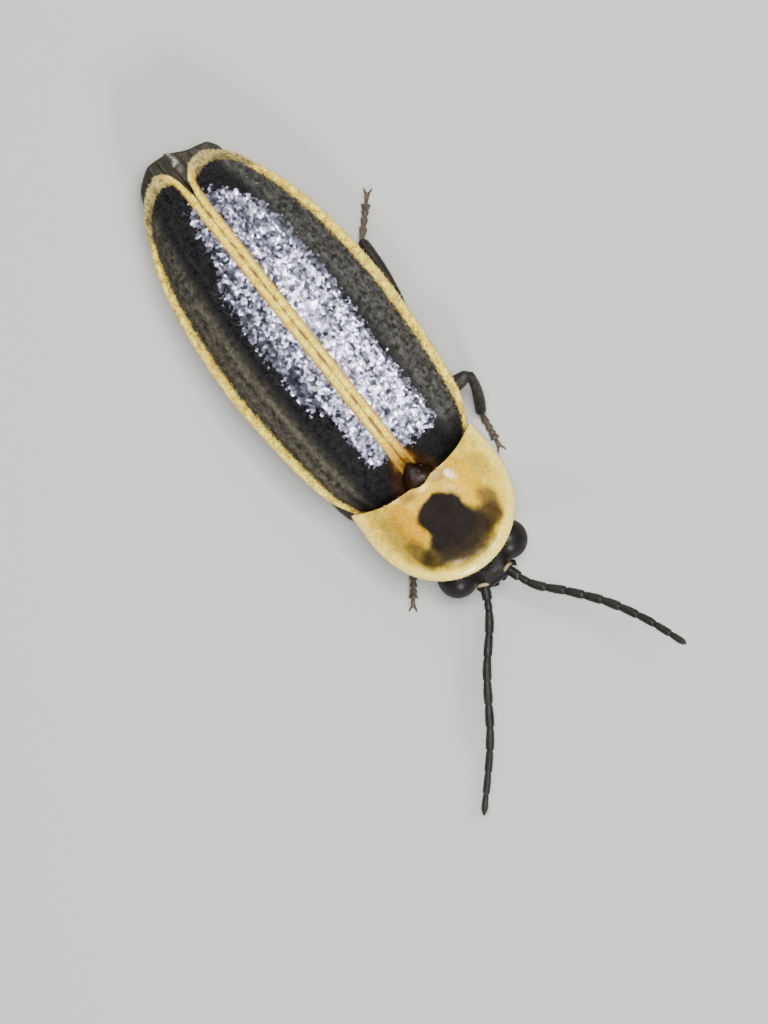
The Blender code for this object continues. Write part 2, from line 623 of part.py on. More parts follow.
def make_tarsus(name, ankle, toe):
    """Make the five-part foot with its two claws, flat where it stands on the floor."""
    heading = toe - ankle
    heading.z = 0
    length = heading.length
    heading.normalize()
    sole_level = toe.z
    start = ankle + heading * (0.6 * TIBIA_RADIUS + GAP * 0.6)
    start.z = ankle.z - 0.1 * MM
    span = length - (start - ankle).dot(heading)
    path, radii = [], []
    reached = 0.0
    for number, share in enumerate(TARSOMERES):
        for t, girth in ((0.03, 0.74), (0.4, 0.92), (0.8, 1.0), (0.97, 0.8)):
            distance = (reached + t * share) / sum(TARSOMERES)
            point = start + heading * span * distance
            point.z = sole_level + (start.z - sole_level) * max(0.0, 1 - distance / 0.3)
            path.append(point)
            radii.append(TARSUS_RADIUS * girth * (0.82 if number == len(TARSOMERES) - 1 else 1.0))
        reached += share
    foot = tube(name, path, radii, 8, "foot", height=0.9)
    claws = []
    for turn in (-1, 1):
        across = Vector((-heading.y, heading.x, 0)) * turn
        root = path[-1] - heading * 0.12 * MM
        claw = [root, root + heading * 0.5 * CLAW_LENGTH + across * 0.35 * CLAW_LENGTH,
                root + heading * 0.95 * CLAW_LENGTH + across * 0.6 * CLAW_LENGTH]
        claw[1].z = sole_level * 0.8
        claw[2].z = CLAW_RADIUS * 0.5
        claws.append(tube("claw", claw, [CLAW_RADIUS * 1.2, CLAW_RADIUS, CLAW_RADIUS * 0.4], 6, "foot"))
    join(foot, claws)
    for vertex in foot.data.vertices:
        vertex.co.z = max(vertex.co.z, 0.0)


def make_legs():
    """Make the six legs and return the hollow that each hip needs in the thorax."""
    cutters = {}
    for leg, joints in LEG_JOINTS.items():
        hip, knee, ankle, toe = (Vector(joint) for joint in joints)
        upper_leg("leg_%s_femur" % leg, hip, knee)
        cutters[leg] = upper_leg("hip_hollow", hip, knee, GAP)
        make_tibia("leg_%s_tibia" % leg, knee, ankle)
        make_tarsus("leg_%s_tarsus" % leg, ankle, toe)
    return cutters


def main():
    for obj in list(bpy.data.objects):
        bpy.data.objects.remove(obj)
    make_elytra()
    make_hind_wings()
    make_pronotum()
    make_scutellum()
    make_head()
    make_trunk(make_legs())


main()
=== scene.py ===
"""Looks of a resting firefly, life size: every visible piece with its finish, the floor and the light.

Laid out as a Blender add-on and run as a script. Lengths in the code are millimetres in the
insect's own frame: its origin lies on the floor under the scutellum, the head points to -Y,
and at() turns such a place into metres in the model's frame.
"""
import bisect
import contextlib
import math
import random

import bmesh
import bpy
from mathutils import Matrix, Vector, kdtree, noise


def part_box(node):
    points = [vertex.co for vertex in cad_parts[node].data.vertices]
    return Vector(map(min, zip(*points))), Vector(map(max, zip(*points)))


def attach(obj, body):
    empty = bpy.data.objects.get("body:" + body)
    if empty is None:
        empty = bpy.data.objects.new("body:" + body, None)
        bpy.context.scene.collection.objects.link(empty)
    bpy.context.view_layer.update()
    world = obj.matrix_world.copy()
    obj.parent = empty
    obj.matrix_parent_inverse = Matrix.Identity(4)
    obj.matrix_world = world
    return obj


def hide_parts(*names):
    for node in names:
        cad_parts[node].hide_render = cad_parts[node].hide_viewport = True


bl_info = {
    "name": "Firefly looks",
    "version": (1, 0, 0),
    "blender": (4, 5, 0),
    "location": "3D View > Sidebar > Firefly",
    "description": "Dresses the solids of a resting firefly with their finished surfaces",
    "category": "Object",
}

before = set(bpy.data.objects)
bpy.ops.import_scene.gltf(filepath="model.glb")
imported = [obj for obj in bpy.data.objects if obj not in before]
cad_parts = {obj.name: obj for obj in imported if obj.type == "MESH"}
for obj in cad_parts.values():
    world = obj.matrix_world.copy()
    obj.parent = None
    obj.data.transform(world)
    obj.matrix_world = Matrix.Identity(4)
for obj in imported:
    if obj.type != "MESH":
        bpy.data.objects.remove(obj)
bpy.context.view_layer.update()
MM = 0.001
SIDES = (("left", 1), ("right", -1))

# Eyes, and the points that the feelers' middle lines run through after their sockets
EYE_CENTRE = (0.875, -3.215, 1.46)
EYE_RADIUS = 0.575
ANTENNA_SOCKET = (0.34, -3.72, 1.82)
ANTENNA_ROUTES = {
    "left": ((0.62, -4.52, 2.0), (1.31, -5.35, 2.35), (2.0, -6.25, 2.8), (2.55, -7.27, 3.3),
             (2.98, -8.4, 3.9)),
    "right": ((-0.8, -4.53, 1.95), (-1.83, -5.74, 2.1), (-2.93, -7.27, 2.05), (-4.42, -8.88, 1.5)),
}

# The insect's own origin, from the middle of the two eyes
eye_corners = [corner for label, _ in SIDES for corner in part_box("eye_" + label)]
eyes_middle = sum(eye_corners, Vector()) / len(eye_corners)
ORIGIN = Vector((eyes_middle.x, eyes_middle.y - EYE_CENTRE[1] * MM, 0.0))

# Legs: hip, knee, ankle and toe, as the solids have them
LEG_JOINTS = {
    "front_left": ((0.5, -1.15, 0.9), (1.64, -0.95, 1.42), (1.42, -2.05, 0.42), (1.12, -2.85, 0.2)),
    "front_right": ((-0.5, -1.15, 0.9), (-1.75, -0.88, 1.4), (-1.75, -2.28, 0.42), (-2.42, -3.1, 0.2)),
    "middle_left": ((0.5, 1.1, 0.86), (2.9, 1.06, 1.72), (2.47, 0.0, 0.42), (2.3, -1.06, 0.2)),
    "middle_right": ((-0.5, 1.1, 0.86), (-2.2, 1.1, 1.42), (-2.1, -0.12, 0.42), (-1.95, -1.18, 0.2)),
    "hind_left": ((0.55, 3.4, 0.86), (2.52, 3.4, 1.2), (2.83, 5.88, 0.42), (3.78, 6.84, 0.2)),
    "hind_right": ((-0.55, 3.4, 0.86), (-2.32, 3.45, 1.2), (-2.36, 5.86, 0.42), (-2.5, 7.2, 0.2)),
}

# Abdomen: its ends, its number of rings, and how many of them the light organ leaves free
ABDOMEN = (4.14, 10.1)
ABDOMEN_SEGMENTS = 7
RING_PITCH = (ABDOMEN[1] - ABDOMEN[0]) / ABDOMEN_SEGMENTS
LANTERN_START = 5


def at(x, y, z):
    """Return a place of the insect's frame, in millimetres, in metres of the model's frame."""
    return ORIGIN + Vector((x, y, z)) * MM


def smooth_curve(*stations):
    """Return a function that runs through (place, value) stations without overshoot."""
    places = [place for place, _ in stations]
    values = [value for _, value in stations]
    rises = [(high - low) / (end - start)
             for low, high, start, end in zip(values, values[1:], places, places[1:])]
    slopes = [rises[0]]
    for before, after in zip(rises, rises[1:]):
        slopes.append(2 * before * after / (before + after) if before * after > 0 else 0.0)
    slopes.append(rises[-1])

    def value_at(place):
        place = min(max(place, places[0]), places[-1])
        i = 0
        while i < len(places) - 2 and place > places[i + 1]:
            i += 1
        span = places[i + 1] - places[i]
        t = (place - places[i]) / span
        return ((2 * t**3 - 3 * t**2 + 1) * values[i] + (t**3 - 2 * t**2 + t) * span * slopes[i]
                + (3 * t**2 - 2 * t**3) * values[i + 1] + (t**3 - t**2) * span * slopes[i + 1])

    return value_at


def bump(place, centre, width):
    """Return a smooth 0 to 1 swelling round a centre."""
    away = abs(place - centre) / width
    return 0.0 if away >= 1 else (1 - away * away) ** 2


def raised(place, *forms):
    """Return the height of ridges and grooves, each given as (centre, width, height), at a place."""
    return sum(height * bump(place, centre, width) for centre, width, height in forms)


def smooth_step(value):
    """Return 0 below 0, 1 above 1 and a smooth rise between."""
    value = min(1.0, max(0.0, value))
    return value * value * (3 - 2 * value)


def unevenness(x, y, scale, finer_scale, finer_share, layer, finer_layer):
    """Return two sizes of smooth noise over x and y, added."""
    return (noise.noise(Vector((x * scale, y * scale, layer)))
            + finer_share * noise.noise(Vector((x * finer_scale, y * finer_scale, finer_layer))))


# Tools that shape pieces

def select_only(obj):
    """Select one object and make it the active one."""
    bpy.ops.object.select_all(action="DESELECT")
    obj.select_set(True)
    bpy.context.view_layer.objects.active = obj


def new_piece(name):
    """Name the active object and return it."""
    obj = bpy.context.active_object
    obj.name = name
    obj.data.name = name
    return obj


def add_primitive(name, add, **settings):
    """Add a primitive with nothing else selected, name it and return it."""
    bpy.ops.object.select_all(action="DESELECT")
    add(**settings)
    return new_piece(name)


def apply_transform():
    """Bring the selected object's own place, turn and size into its mesh."""
    bpy.ops.object.transform_apply(location=True, rotation=True, scale=True)


def shaped_sheet(name, columns, rows, point_at):
    """Add a grid and lay it over the surface point_at(u, v); its UV map keeps u and v."""
    obj = add_primitive(name, bpy.ops.mesh.primitive_grid_add, x_subdivisions=columns, y_subdivisions=rows,
                        size=1.0, calc_uvs=True)
    for vertex in obj.data.vertices:
        vertex.co = point_at(vertex.co.x + 0.5, vertex.co.y + 0.5)
    return obj


def shaped_tube(name, sides, rings, point_at):
    """Add a grid, roll it into a closed body whose two ends are points, and join its seam."""
    obj = shaped_sheet(name, sides, rings, point_at)
    close_body(obj)
    return obj


@contextlib.contextmanager
def whole_mesh_in_edit_mode(obj):
    """Open an object in edit mode with all of it selected, and leave edit mode afterwards."""
    select_only(obj)
    bpy.ops.object.mode_set(mode="EDIT")
    bpy.ops.mesh.select_all(action="SELECT")
    yield
    bpy.ops.object.mode_set(mode="OBJECT")


def close_body(obj):
    """Merge an object's doubled points and turn its faces outwards."""
    with whole_mesh_in_edit_mode(obj):
        bpy.ops.mesh.remove_doubles(threshold=1e-7)
        bpy.ops.mesh.normals_make_consistent(inside=False)


def turn_over(obj):
    """Turn all faces of a mesh the other way."""
    with whole_mesh_in_edit_mode(obj):
        bpy.ops.mesh.flip_normals()


def tube(name, stations, resolution=4):
    """Make a closed limb through (point, radius) stations, in millimetres, from a bevelled curve."""
    curve = bpy.data.curves.new(name, "CURVE")
    curve.dimensions = "3D"
    curve.bevel_depth = MM
    curve.bevel_resolution = resolution
    curve.use_fill_caps = True
    spline = curve.splines.new("POLY")
    spline.points.add(len(stations) - 1)
    for point, (place, radius) in zip(spline.points, stations):
        point.co = (*at(*place), 1.0)
        point.radius = radius
    obj = bpy.data.objects.new(name, curve)
    bpy.context.scene.collection.objects.link(obj)
    select_only(obj)
    bpy.ops.object.convert(target="MESH")
    return bpy.context.active_object


def join_pieces(name, parts):
    """Join objects into the first one and give it the name."""
    bpy.ops.object.select_all(action="DESELECT")
    for part in parts:
        part.select_set(True)
    bpy.context.view_layer.objects.active = parts[0]
    if len(parts) > 1:
        bpy.ops.object.join()
    return new_piece(name)


def apply_modifier(obj, kind, **settings):
    """Add a modifier with its settings and apply it."""
    select_only(obj)
    modifier = obj.modifiers.new(kind.lower(), kind)
    for key, value in settings.items():
        setattr(modifier, key, value)
    bpy.ops.object.modifier_apply(modifier=modifier.name)


def push(obj, centre, reach, shift):
    """Move the surface near a place by a shift that fades out at its reach, all in millimetres."""
    middle = at(*centre)
    move = Vector(shift) * MM
    for vertex in obj.data.vertices:
        away = (vertex.co - middle).length / (reach * MM)
        if away < 1:
            vertex.co += move * (1 - away * away) ** 2


def finish_piece(obj, material, slot, *nodes):
    """Give a piece its material, smooth shading and body, and hide the solids it stands for; its slot is not
    used.
    """
    obj.data.materials.clear()
    obj.data.materials.append(material)
    select_only(obj)
    bpy.ops.object.shade_smooth()
    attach(obj, "root")
    if nodes:
        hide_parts(*nodes)
    return obj


# Materials

# Ends of a soft band that is open on one side
BELOW_ALL = -99.0
ABOVE_ALL = 99.0


class Wire:
    """The output of a node; + - * and / lead it through Math nodes with numbers and other wires."""

    def __init__(self, socket):
        self.socket = socket
        self.tree = socket.id_data

    def __add__(self, other):
        return maths("ADD", self, other)

    def __sub__(self, other):
        return maths("SUBTRACT", self, other)

    def __rsub__(self, other):
        return maths("SUBTRACT", other, self)

    def __mul__(self, other):
        return maths("MULTIPLY", self, other)

    def __truediv__(self, other):
        return maths("DIVIDE", self, other)


def set_inputs(node, **inputs):
    """Give a node's inputs, by name with _ for a space or by i and their number, a wire or a value."""
    for key, value in inputs.items():
        socket = node.inputs[int(key[1:]) if key[1:].isdigit() else key.replace("_", " ")]
        if isinstance(value, Wire):
            value.tree.links.new(value.socket, socket)
        else:
            socket.default_value = value


def add_node(tree, kind, settings=None, **inputs):
    """Add a node with its settings and inputs."""
    node = tree.nodes.new(kind)
    for key, value in (settings or {}).items():
        setattr(node, key, value)
    set_inputs(node, **inputs)
    return node


def tree_of(values):
    """Return the tree that the first wire among some values is in."""
    return next(value.tree for value in values if isinstance(value, Wire))


def wire_from(kind, *values, output=0, settings=None, **inputs):
    """Add a node where its inputs' wires are and return one of its outputs."""
    inputs.update({"i%d" % number: value for number, value in enumerate(values)})
    return Wire(add_node(tree_of(inputs.values()), kind, settings, **inputs).outputs[output])


def maths(operation, *values):
    """Return a sum or another working of wires and numbers."""
    return wire_from("ShaderNodeMath", *values, settings={"operation": operation})


def vector_maths(operation, *values, output=0, **inputs):
    """Return a working of places or other vectors."""
    return wire_from("ShaderNodeVectorMath", *values, output=output, settings={"operation": operation},
                     **inputs)


def blend(factor, first, second, mode="MIX"):
    """Return a blend of two colours, each a wire or its red, green and blue."""
    first, second = (value if isinstance(value, Wire) else (*value, 1.0) for value in (first, second))
    return wire_from("ShaderNodeMix", output=2, settings={"data_type": "RGBA", "blend_type": mode},
                     i0=factor, i6=first, i7=second)


def remap(value, low=0.0, high=1.0, start=0.0, end=1.0, curve="LINEAR"):
    """Return a value led from the range low to high to the range start to end, and held there."""
    return wire_from("ShaderNodeMapRange", value, low, high, start, end,
                     settings={"interpolation_type": curve})


def clouds(place, scale, detail, roughness=0.5, output="Fac"):
    """Return an uneven cloudiness."""
    return wire_from("ShaderNodeTexNoise", output=output, Vector=place, Scale=scale, Detail=detail,
                     Roughness=roughness)


def axis_of(place, axis):
    """Return a place's X, Y or Z."""
    return wire_from("ShaderNodeSeparateXYZ", output=axis, Vector=place)


def attribute(tree, name):
    """Return a number kept on the mesh."""
    return Wire(add_node(tree, "ShaderNodeAttribute", {"attribute_name": name}).outputs["Fac"])


def place_mm(tree):
    """Return the surface's place in millimetres of the insect's frame."""
    place = Wire(add_node(tree, "ShaderNodeTexCoord").outputs["Object"])
    return vector_maths("SCALE", vector_maths("SUBTRACT", place, tuple(ORIGIN)), Scale=1 / MM)


def grain_group(place, grains_per_mm, unevenness):
    """Cuticle grain: fine pits and grains over a broader unevenness, as a height and a mask."""
    pits = wire_from("ShaderNodeTexVoronoi", output="Distance", Vector=place, Scale=grains_per_mm)
    coarse = clouds(place, grains_per_mm * 0.35, 4.0, 0.6)
    return (1.0 - pits) + coarse * unevenness, coarse


def facet_group(place, cells_per_mm, tilt):
    """Glittering cuticle: small cells, each a plane with a tilt of its own, and a fine grain, in mm."""
    cells = add_node(place.tree, "ShaderNodeTexVoronoi", Vector=place, Scale=cells_per_mm)
    lot, middle = Wire(cells.outputs["Color"]), Wire(cells.outputs["Position"])
    lean = vector_maths("SUBTRACT", lot, (0.5, 0.5, 0.5))
    rise = vector_maths("DOT_PRODUCT", vector_maths("SUBTRACT", place, middle), lean, output="Value")
    return rise * tilt + clouds(place, 26.0, 2.0) * 0.008, axis_of(lot, "Z")


def patch_group(place, centre, reach, softness):
    """A soft oval patch on the surface, seen from above, with a slightly uneven outline."""
    wander = vector_maths("SUBTRACT", clouds(place, 2.6, 3.0, output="Color"), (0.5, 0.5, 0.5))
    place = vector_maths("ADD", place, vector_maths("SCALE", wander, Scale=0.28))
    away = vector_maths("DIVIDE", vector_maths("SUBTRACT", place, centre), reach)
    distance = vector_maths("LENGTH", vector_maths("MULTIPLY", away, (1, 1, 0)), output="Value")
    return (remap(distance, 1.0 - softness, softness + 1.0, 1.0, 0.0, "SMOOTHSTEP"),)


def band_group(value, low, high, softness):
    """1 between two values and 0 outside them, with soft ends."""
    share = maths("MINIMUM", value - low, high - value) / softness
    return (remap(share, -1.0, 1.0, curve="SMOOTHSTEP"),)


# Of each node group: what works it out, its inputs with their defaults, and its outputs
GROUPS = {
    "cuticle grain": (grain_group, {"Place": (0, 0, 0), "Grains per mm": 9.0, "Unevenness": 0.5},
                      ("Height", "Mask")),
    "facets": (facet_group, {"Place": (0, 0, 0), "Cells per mm": 9.0, "Tilt": 0.5}, ("Height", "Tone")),
    "soft patch": (patch_group, {"Place": (0, 0, 0), "Centre": (0, 0, 0), "Reach": (1, 1, 1),
                                 "Softness": 0.3}, ("Mask",)),
    "soft band": (band_group, {"Value": 0.0, "From": 0.0, "To": 1.0, "Softness": 0.05}, ("Mask",)),
}


def new_group(name):
    """Make a shader node group with named sockets."""
    work_out, inputs, outputs = GROUPS[name]
    group = bpy.data.node_groups.new(name, "ShaderNodeTree")
    for label, default in inputs.items():
        kind = "NodeSocketFloat" if isinstance(default, float) else "NodeSocketVector"
        group.interface.new_socket(label, in_out="INPUT", socket_type=kind).default_value = default
    for label in outputs:
        group.interface.new_socket(label, in_out="OUTPUT", socket_type="NodeSocketFloat")
    entry, out = group.nodes.new("NodeGroupInput"), group.nodes.new("NodeGroupOutput")
    results = work_out(*(Wire(entry.outputs[label]) for label in inputs))
    set_inputs(out, **dict(zip(outputs, results)))
    return group


def use_group(name, **inputs):
    """Place a shared node group, made the first time it is used, and return its outputs by name."""
    group = bpy.data.node_groups.get(name) or new_group(name)
    node = add_node(tree_of(inputs.values()), "ShaderNodeGroup", {"node_tree": group}, **inputs)
    return {label: Wire(node.outputs[label]) for label in GROUPS[name][2]}


def band(value, low, high, softness):
    """Return a mask that is 1 where a value lies between low and high."""
    return use_group("soft band", Value=value, From=low, To=high, Softness=softness)["Mask"]


def patch(place, x, y, wide, long, softness):
    """Return a mask that is 1 in an oval round x, y."""
    return use_group("soft patch", Place=place, Centre=(x, y, 0.0), Reach=(wide, long, 1.0),
                     Softness=softness)["Mask"]


def cuticle_grain(place, grains_per_mm, unevenness):
    """Return the height and the mask of the cuticle's grain."""
    return use_group("cuticle grain", Place=place, Grains_per_mm=grains_per_mm, Unevenness=unevenness)


def new_material(name):
    """Start a material and return it with its tree and its main shader."""
    material = bpy.data.materials.new(name)
    material.use_nodes = True
    return material, material.node_tree, material.node_tree.nodes["Principled BSDF"]


def relief(shader, height, distance, strength=1.0):
    """Feed a height in millimetres to the shader's normal."""
    set_inputs(shader, Normal=wire_from("ShaderNodeBump", Strength=strength, Distance=distance * MM,
                                        Height=height))


def cuticle_material(name, dark, light, roughness, grains=9.0, depth=0.006, shine=0.3):
    """Plain hard cuticle: two tones in uneven clouds, fine grain and a varied gloss."""
    material, tree, shader = new_material(name)
    place = place_mm(tree)
    pits = cuticle_grain(place, grains, 0.6)
    set_inputs(shader, Base_Color=blend(remap(clouds(place, 2.2, 5.0, 0.65), 0.35, 0.7), dark, light),
               Roughness=remap(pits["Mask"], 0.3, 0.7, roughness - 0.08, roughness + 0.12),
               Specular_IOR_Level=shine)
    relief(shader, pits["Height"], depth)
    return material


def down_material(name, dark, light):
    """Hairs: one tone with some hairs paler than others."""
    material, tree, shader = new_material(name)
    set_inputs(shader, Base_Color=blend(clouds(place_mm(tree), 14.0, 1.0), dark, light), Roughness=0.5,
               Specular_IOR_Level=0.3)
    return material


def wing_case_material(colours):
    """Black wing case with a painted silver sheen, and pale yellow seam and margins, set by distances on the
    mesh.
    """
    material, tree, shader = new_material("wing case cuticle")
    place = place_mm(tree)
    seam, rim, across, along = (attribute(tree, name) for name in ("seam", "rim", "across", "along"))
    y_place = axis_of(place, "Y")
    facets = use_group("facets", Place=place, Cells_per_mm=10.0, Tilt=0.46)
    clumps = remap(clouds(place, 5.4, 3.0, 0.6), 0.36, 0.64)
    tone = remap(facets["Tone"] * 0.42 + clumps * 0.58, 0.12, 0.88)
    wander = clouds(place, 6.0, 4.0, 0.7) - 0.5
    unrest = wander + (clouds(place, 15.0, 3.0, 0.6) - 0.5)

    # Places: the pale seam and margins, the tip and the right wing case
    seam_band = band(seam + unrest * 0.10, BELOW_ALL, 0.225, 0.03)
    rim_band = band(rim + unrest * 1.15, BELOW_ALL, 1.0, 0.16)
    pale_mask = maths("MAXIMUM", seam_band, rim_band)
    tip = band(along, 0.93, ABOVE_ALL, 0.02)
    right = band(axis_of(place, "X"), BELOW_ALL, 0.0, 0.05)

    # Dark ground: greyer flank, two thin pale lines along the ribs with painted sheen, black root and an
    # amber haze beside the scutellum
    dark = blend(tone, colours.dark_cuticle, (0.014, 0.013, 0.014))
    flank = blend(right, (0.098, 0.095, 0.086), (0.092, 0.082, 0.060))
    flank = blend(tone, flank, (0.012, 0.012, 0.010))
    outer = band(across, 0.62, ABOVE_ALL, 0.1) * band(along, 0.07, ABOVE_ALL, 0.05)
    dark = blend(outer * 0.85, dark, flank)
    rib_lines_and_sheen = maths("MAXIMUM", *(band(across + unrest * 0.03, low, high, 0.035)
                               for low, high in ((0.655, 0.705), (0.79, 0.835))))
    # Painted sheen: the rib lines are faint on the left and stronger on the right wing case, where light
    # catches the ribs
    rib_lines_and_sheen = rib_lines_and_sheen * (right * 0.33 + 0.05) * band(along, BELOW_ALL, 0.72, 0.12)
    dark = blend(rib_lines_and_sheen, dark, (0.14, 0.12, 0.083))
    root = band(along + unrest * 0.02, BELOW_ALL, 0.06, 0.04)
    dark = blend(root * 0.85, dark, (0.002, 0.002, 0.002))
    spread = seam + y_place * 0.40
    lit = band(spread, BELOW_ALL, 0.38, 0.14) * band(y_place, 0.18, ABOVE_ALL, 0.14)
    haze = band(spread + unrest * 0.12, BELOW_ALL, 0.56, 0.22)
    dark = blend(haze * 0.9, dark, blend(lit, (0.030, 0.012, 0.004), (0.22, 0.10, 0.010)))

    # Pale seam and margins: flecks, browner start and foot, darker edge, dashes along the lip, dull tip
    pale = blend(remap(unrest, -0.14, 0.1), (0.55, 0.36, 0.03), colours.pale_margin)
    start = seam_band * band(along, BELOW_ALL, 0.075, 0.05)
    pale = blend(start * 0.8, pale, (0.42, 0.165, 0.006))
    foot = seam_band * band(y_place + unrest * 0.3, BELOW_ALL, 0.40, 0.2)
    pale = blend(foot * 0.9, pale, (0.10, 0.042, 0.006))
    edge = band(seam + unrest * 0.06, 0.165, 0.28, 0.035)
    pale = blend(edge * 0.75, pale, (0.34, 0.18, 0.02))
    dashes = remap(clouds(place, 2.4, 2.0), 0.44, 0.56, 0.1, 0.9)
    pale = blend(band(seam, BELOW_ALL, 0.05, 0.02) * dashes, pale, (0.30, 0.16, 0.05))
    outer_rim = 1.0 - band(seam, BELOW_ALL, 0.3, 0.05)
    pale = blend(tip * outer_rim * 0.75, pale, (0.20, 0.17, 0.095))
    inner = maths("MAXIMUM", tip, band(rim, 0.45, ABOVE_ALL, 0.3))
    specks = remap(clouds(place, 5.5, 4.0, 0.75) + inner * 0.05, 0.505, 0.585) * outer_rim
    pale = blend(specks * (tip * 0.38 + 0.5), pale, (0.12, 0.085, 0.035))

    # Painted sheen: a silver, reflective zone laid where the lamp's glitter falls, brighter on the left wing
    # case and dimmer on the right, kept off the pale bands
    sheen = attribute(tree, "sheen") + wander * 0.7 + (tone - 0.5) * 0.75
    sheen = band(sheen, 0.5, ABOVE_ALL, 0.1) * (1.0 - maths("MAXIMUM", pale_mask, haze))
    glint = blend(right, (0.78, 0.78, 1.0), (0.50, 0.50, 0.65))
    glint = blend(maths("POWER", tone, 1.8), (0.055, 0.055, 0.080), glint)
    set_inputs(shader, Base_Color=blend(pale_mask, blend(sheen, dark, glint), pale), Metallic=sheen,
               Roughness=remap(sheen, start=0.55, end=0.33), Specular_IOR_Level=0.05)
    relief(shader, facets["Height"], 1.0)
    return material


PRONOTUM_TONES_AND_PAINTED_LIGHT = (
    # centre x and y, reach across and along, softness, colour and weight of each patch
    (0.0, -0.85, 1.3, 0.5, 0.4, (0.64, 0.38, 0.03), 0.7),
    (0.98, -1.22, 0.38, 0.86, 0.16, (0.64, 0.37, 0.001), 1.0),
    (-1.0, -1.20, 0.36, 0.76, 0.22, (0.57, 0.30, 0.001), 1.0),
    (-1.22, -0.95, 0.12, 0.5, 0.8, (0.34, 0.20, 0.01), 0.5),
    (-0.48, -0.6, 0.24, 0.16, 0.7, (0.22, 0.11, 0.01), 0.8),
    (0.48, -0.6, 0.22, 0.16, 0.7, (0.22, 0.11, 0.01), 0.7),
    (-0.82, -0.4, 0.13, 0.09, 0.5, (0.98, 0.76, 0.30), 0.8),
    (0.72, -0.38, 0.15, 0.10, 0.5, (0.98, 0.76, 0.30), 0.8),
    (-0.02, -0.64, 0.15, 0.08, 0.5, (0.98, 0.76, 0.30), 0.8),
    (-1.48, -1.3, 0.24, 0.8, 0.5, (0.25, 0.16, 0.014), 0.7),
    (1.54, -1.15, 0.22, 0.5, 0.6, (0.34, 0.23, 0.015), 0.45),
    # Painted shade of the head and eyes under the translucent shield: olive-brown at each side, dark brown
    # ahead of the middle spot
    (1.2, -2.06, 0.24, 0.46, 0.45, (0.12, 0.075, 0.024), 0.9),
    (0.92, -2.36, 0.46, 0.36, 0.35, (0.042, 0.025, 0.008), 0.9),
    (-1.22, -2.04, 0.23, 0.52, 0.5, (0.085, 0.052, 0.015), 0.9),
    (-0.92, -2.36, 0.46, 0.38, 0.35, (0.024, 0.014, 0.004), 0.92),
    (0.05, -2.42, 0.96, 0.66, 0.26, (0.024, 0.014, 0.006), 0.95),
    (0.0, -2.2, 0.80, 0.6, 0.28, (0.013, 0.007, 0.003), 0.9),
    # The dark middle spot
    (-0.06, -2.02, 0.74, 0.42, 0.16, (0.009, 0.0046, 0.0028), 1.0),
    (-0.05, -1.58, 0.69, 0.62, 0.15, (0.008, 0.004, 0.0022), 1.0),
    (-0.08, -1.36, 0.64, 0.42, 0.18, (0.008, 0.004, 0.0022), 1.0),
    # A painted highlight: a pale cream spot where the lamp shines on the swell
    (0.79, -0.75, 0.12, 0.11, 0.45, (1.0, 0.92, 0.68), 0.8),
)


def pronotum_material(colours):
    """Cream shield with orange patches, a dark middle spot, olive-brown and dark painted shade where the head
    and eyes lie under it, and one painted highlight.
    """
    material, tree, shader = new_material("pronotum cuticle")
    place = place_mm(tree)
    base = blend(remap(clouds(place, 3.0, 5.0, 0.65), 0.32, 0.66), (0.46, 0.295, 0.02), (0.92, 0.64, 0.05))
    for x, y, wide, long, softness, colour, weight in PRONOTUM_TONES_AND_PAINTED_LIGHT:
        base = blend(patch(place, x, y, wide, long, softness) * weight, base, colour)
    border = band(attribute(tree, "rim"), BELOW_ALL, 0.22, 0.12)
    base = blend(border * 0.9, base, colours.pronotum_cream)
    flecks = remap(clouds(place, 11.0, 4.0, 0.7), 0.35, 0.65, 0.72, 1.12)
    pits = cuticle_grain(place, 7.0, 0.9)
    middle = patch(place, -0.1, -1.82, 0.86, 1.22, 0.25)
    gleam = patch(place, 0.80, -0.76, 0.17, 0.15, 0.5)
    set_inputs(shader, Base_Color=blend(1.0, base, flecks, "MULTIPLY"),
               Roughness=remap(pits["Mask"], 0.3, 0.7, 0.24, 0.44) + middle * 0.35,
               Coat_Weight=(border * 0.64 + 0.22) * (1.0 - middle) + gleam * 0.78, Coat_Roughness=0.2,
               Specular_IOR_Level=0.12, Subsurface_Weight=0.15, Subsurface_Radius=(1.0, 0.5, 0.2),
               Subsurface_Scale=0.12 * MM)
    relief(shader, pits["Height"], 0.014, 0.8)
    return material


def trunk_material(colours):
    """Underside: brown thorax, dark abdomen with pale ring edges, and the pale light organ."""
    material, tree, shader = new_material("trunk cuticle")
    place = place_mm(tree)
    along, height = axis_of(place, "Y"), axis_of(place, "Z")
    cloud = clouds(place, 1.8, 5.0, 0.65)
    brown = blend(cloud, (0.028, 0.015, 0.009), (0.085, 0.045, 0.022))
    black = blend(cloud, (0.016, 0.012, 0.010), (0.05, 0.034, 0.025))
    on_abdomen = band(along, ABDOMEN[0], ABOVE_ALL, 0.05)
    edges = band(maths("FRACT", (along - ABDOMEN[0]) / RING_PITCH), 0.86, ABOVE_ALL, 0.05) * on_abdomen
    base = blend(edges * 0.6, blend(on_abdomen, brown, black), (0.36, 0.25, 0.12))
    organ = band(along, ABDOMEN[0] + LANTERN_START * RING_PITCH + 0.03, ABDOMEN[1], 0.03)
    organ = organ * band(height, BELOW_ALL, 1.02, 0.08)
    glow = blend(cloud, colours.lantern, (0.88, 0.86, 0.58))
    set_inputs(shader, Base_Color=blend(organ, base, glow), Roughness=0.42, Coat_Weight=0.1)
    relief(shader, cuticle_grain(place, 10.0, 0.6)["Height"], 0.012)
    return material


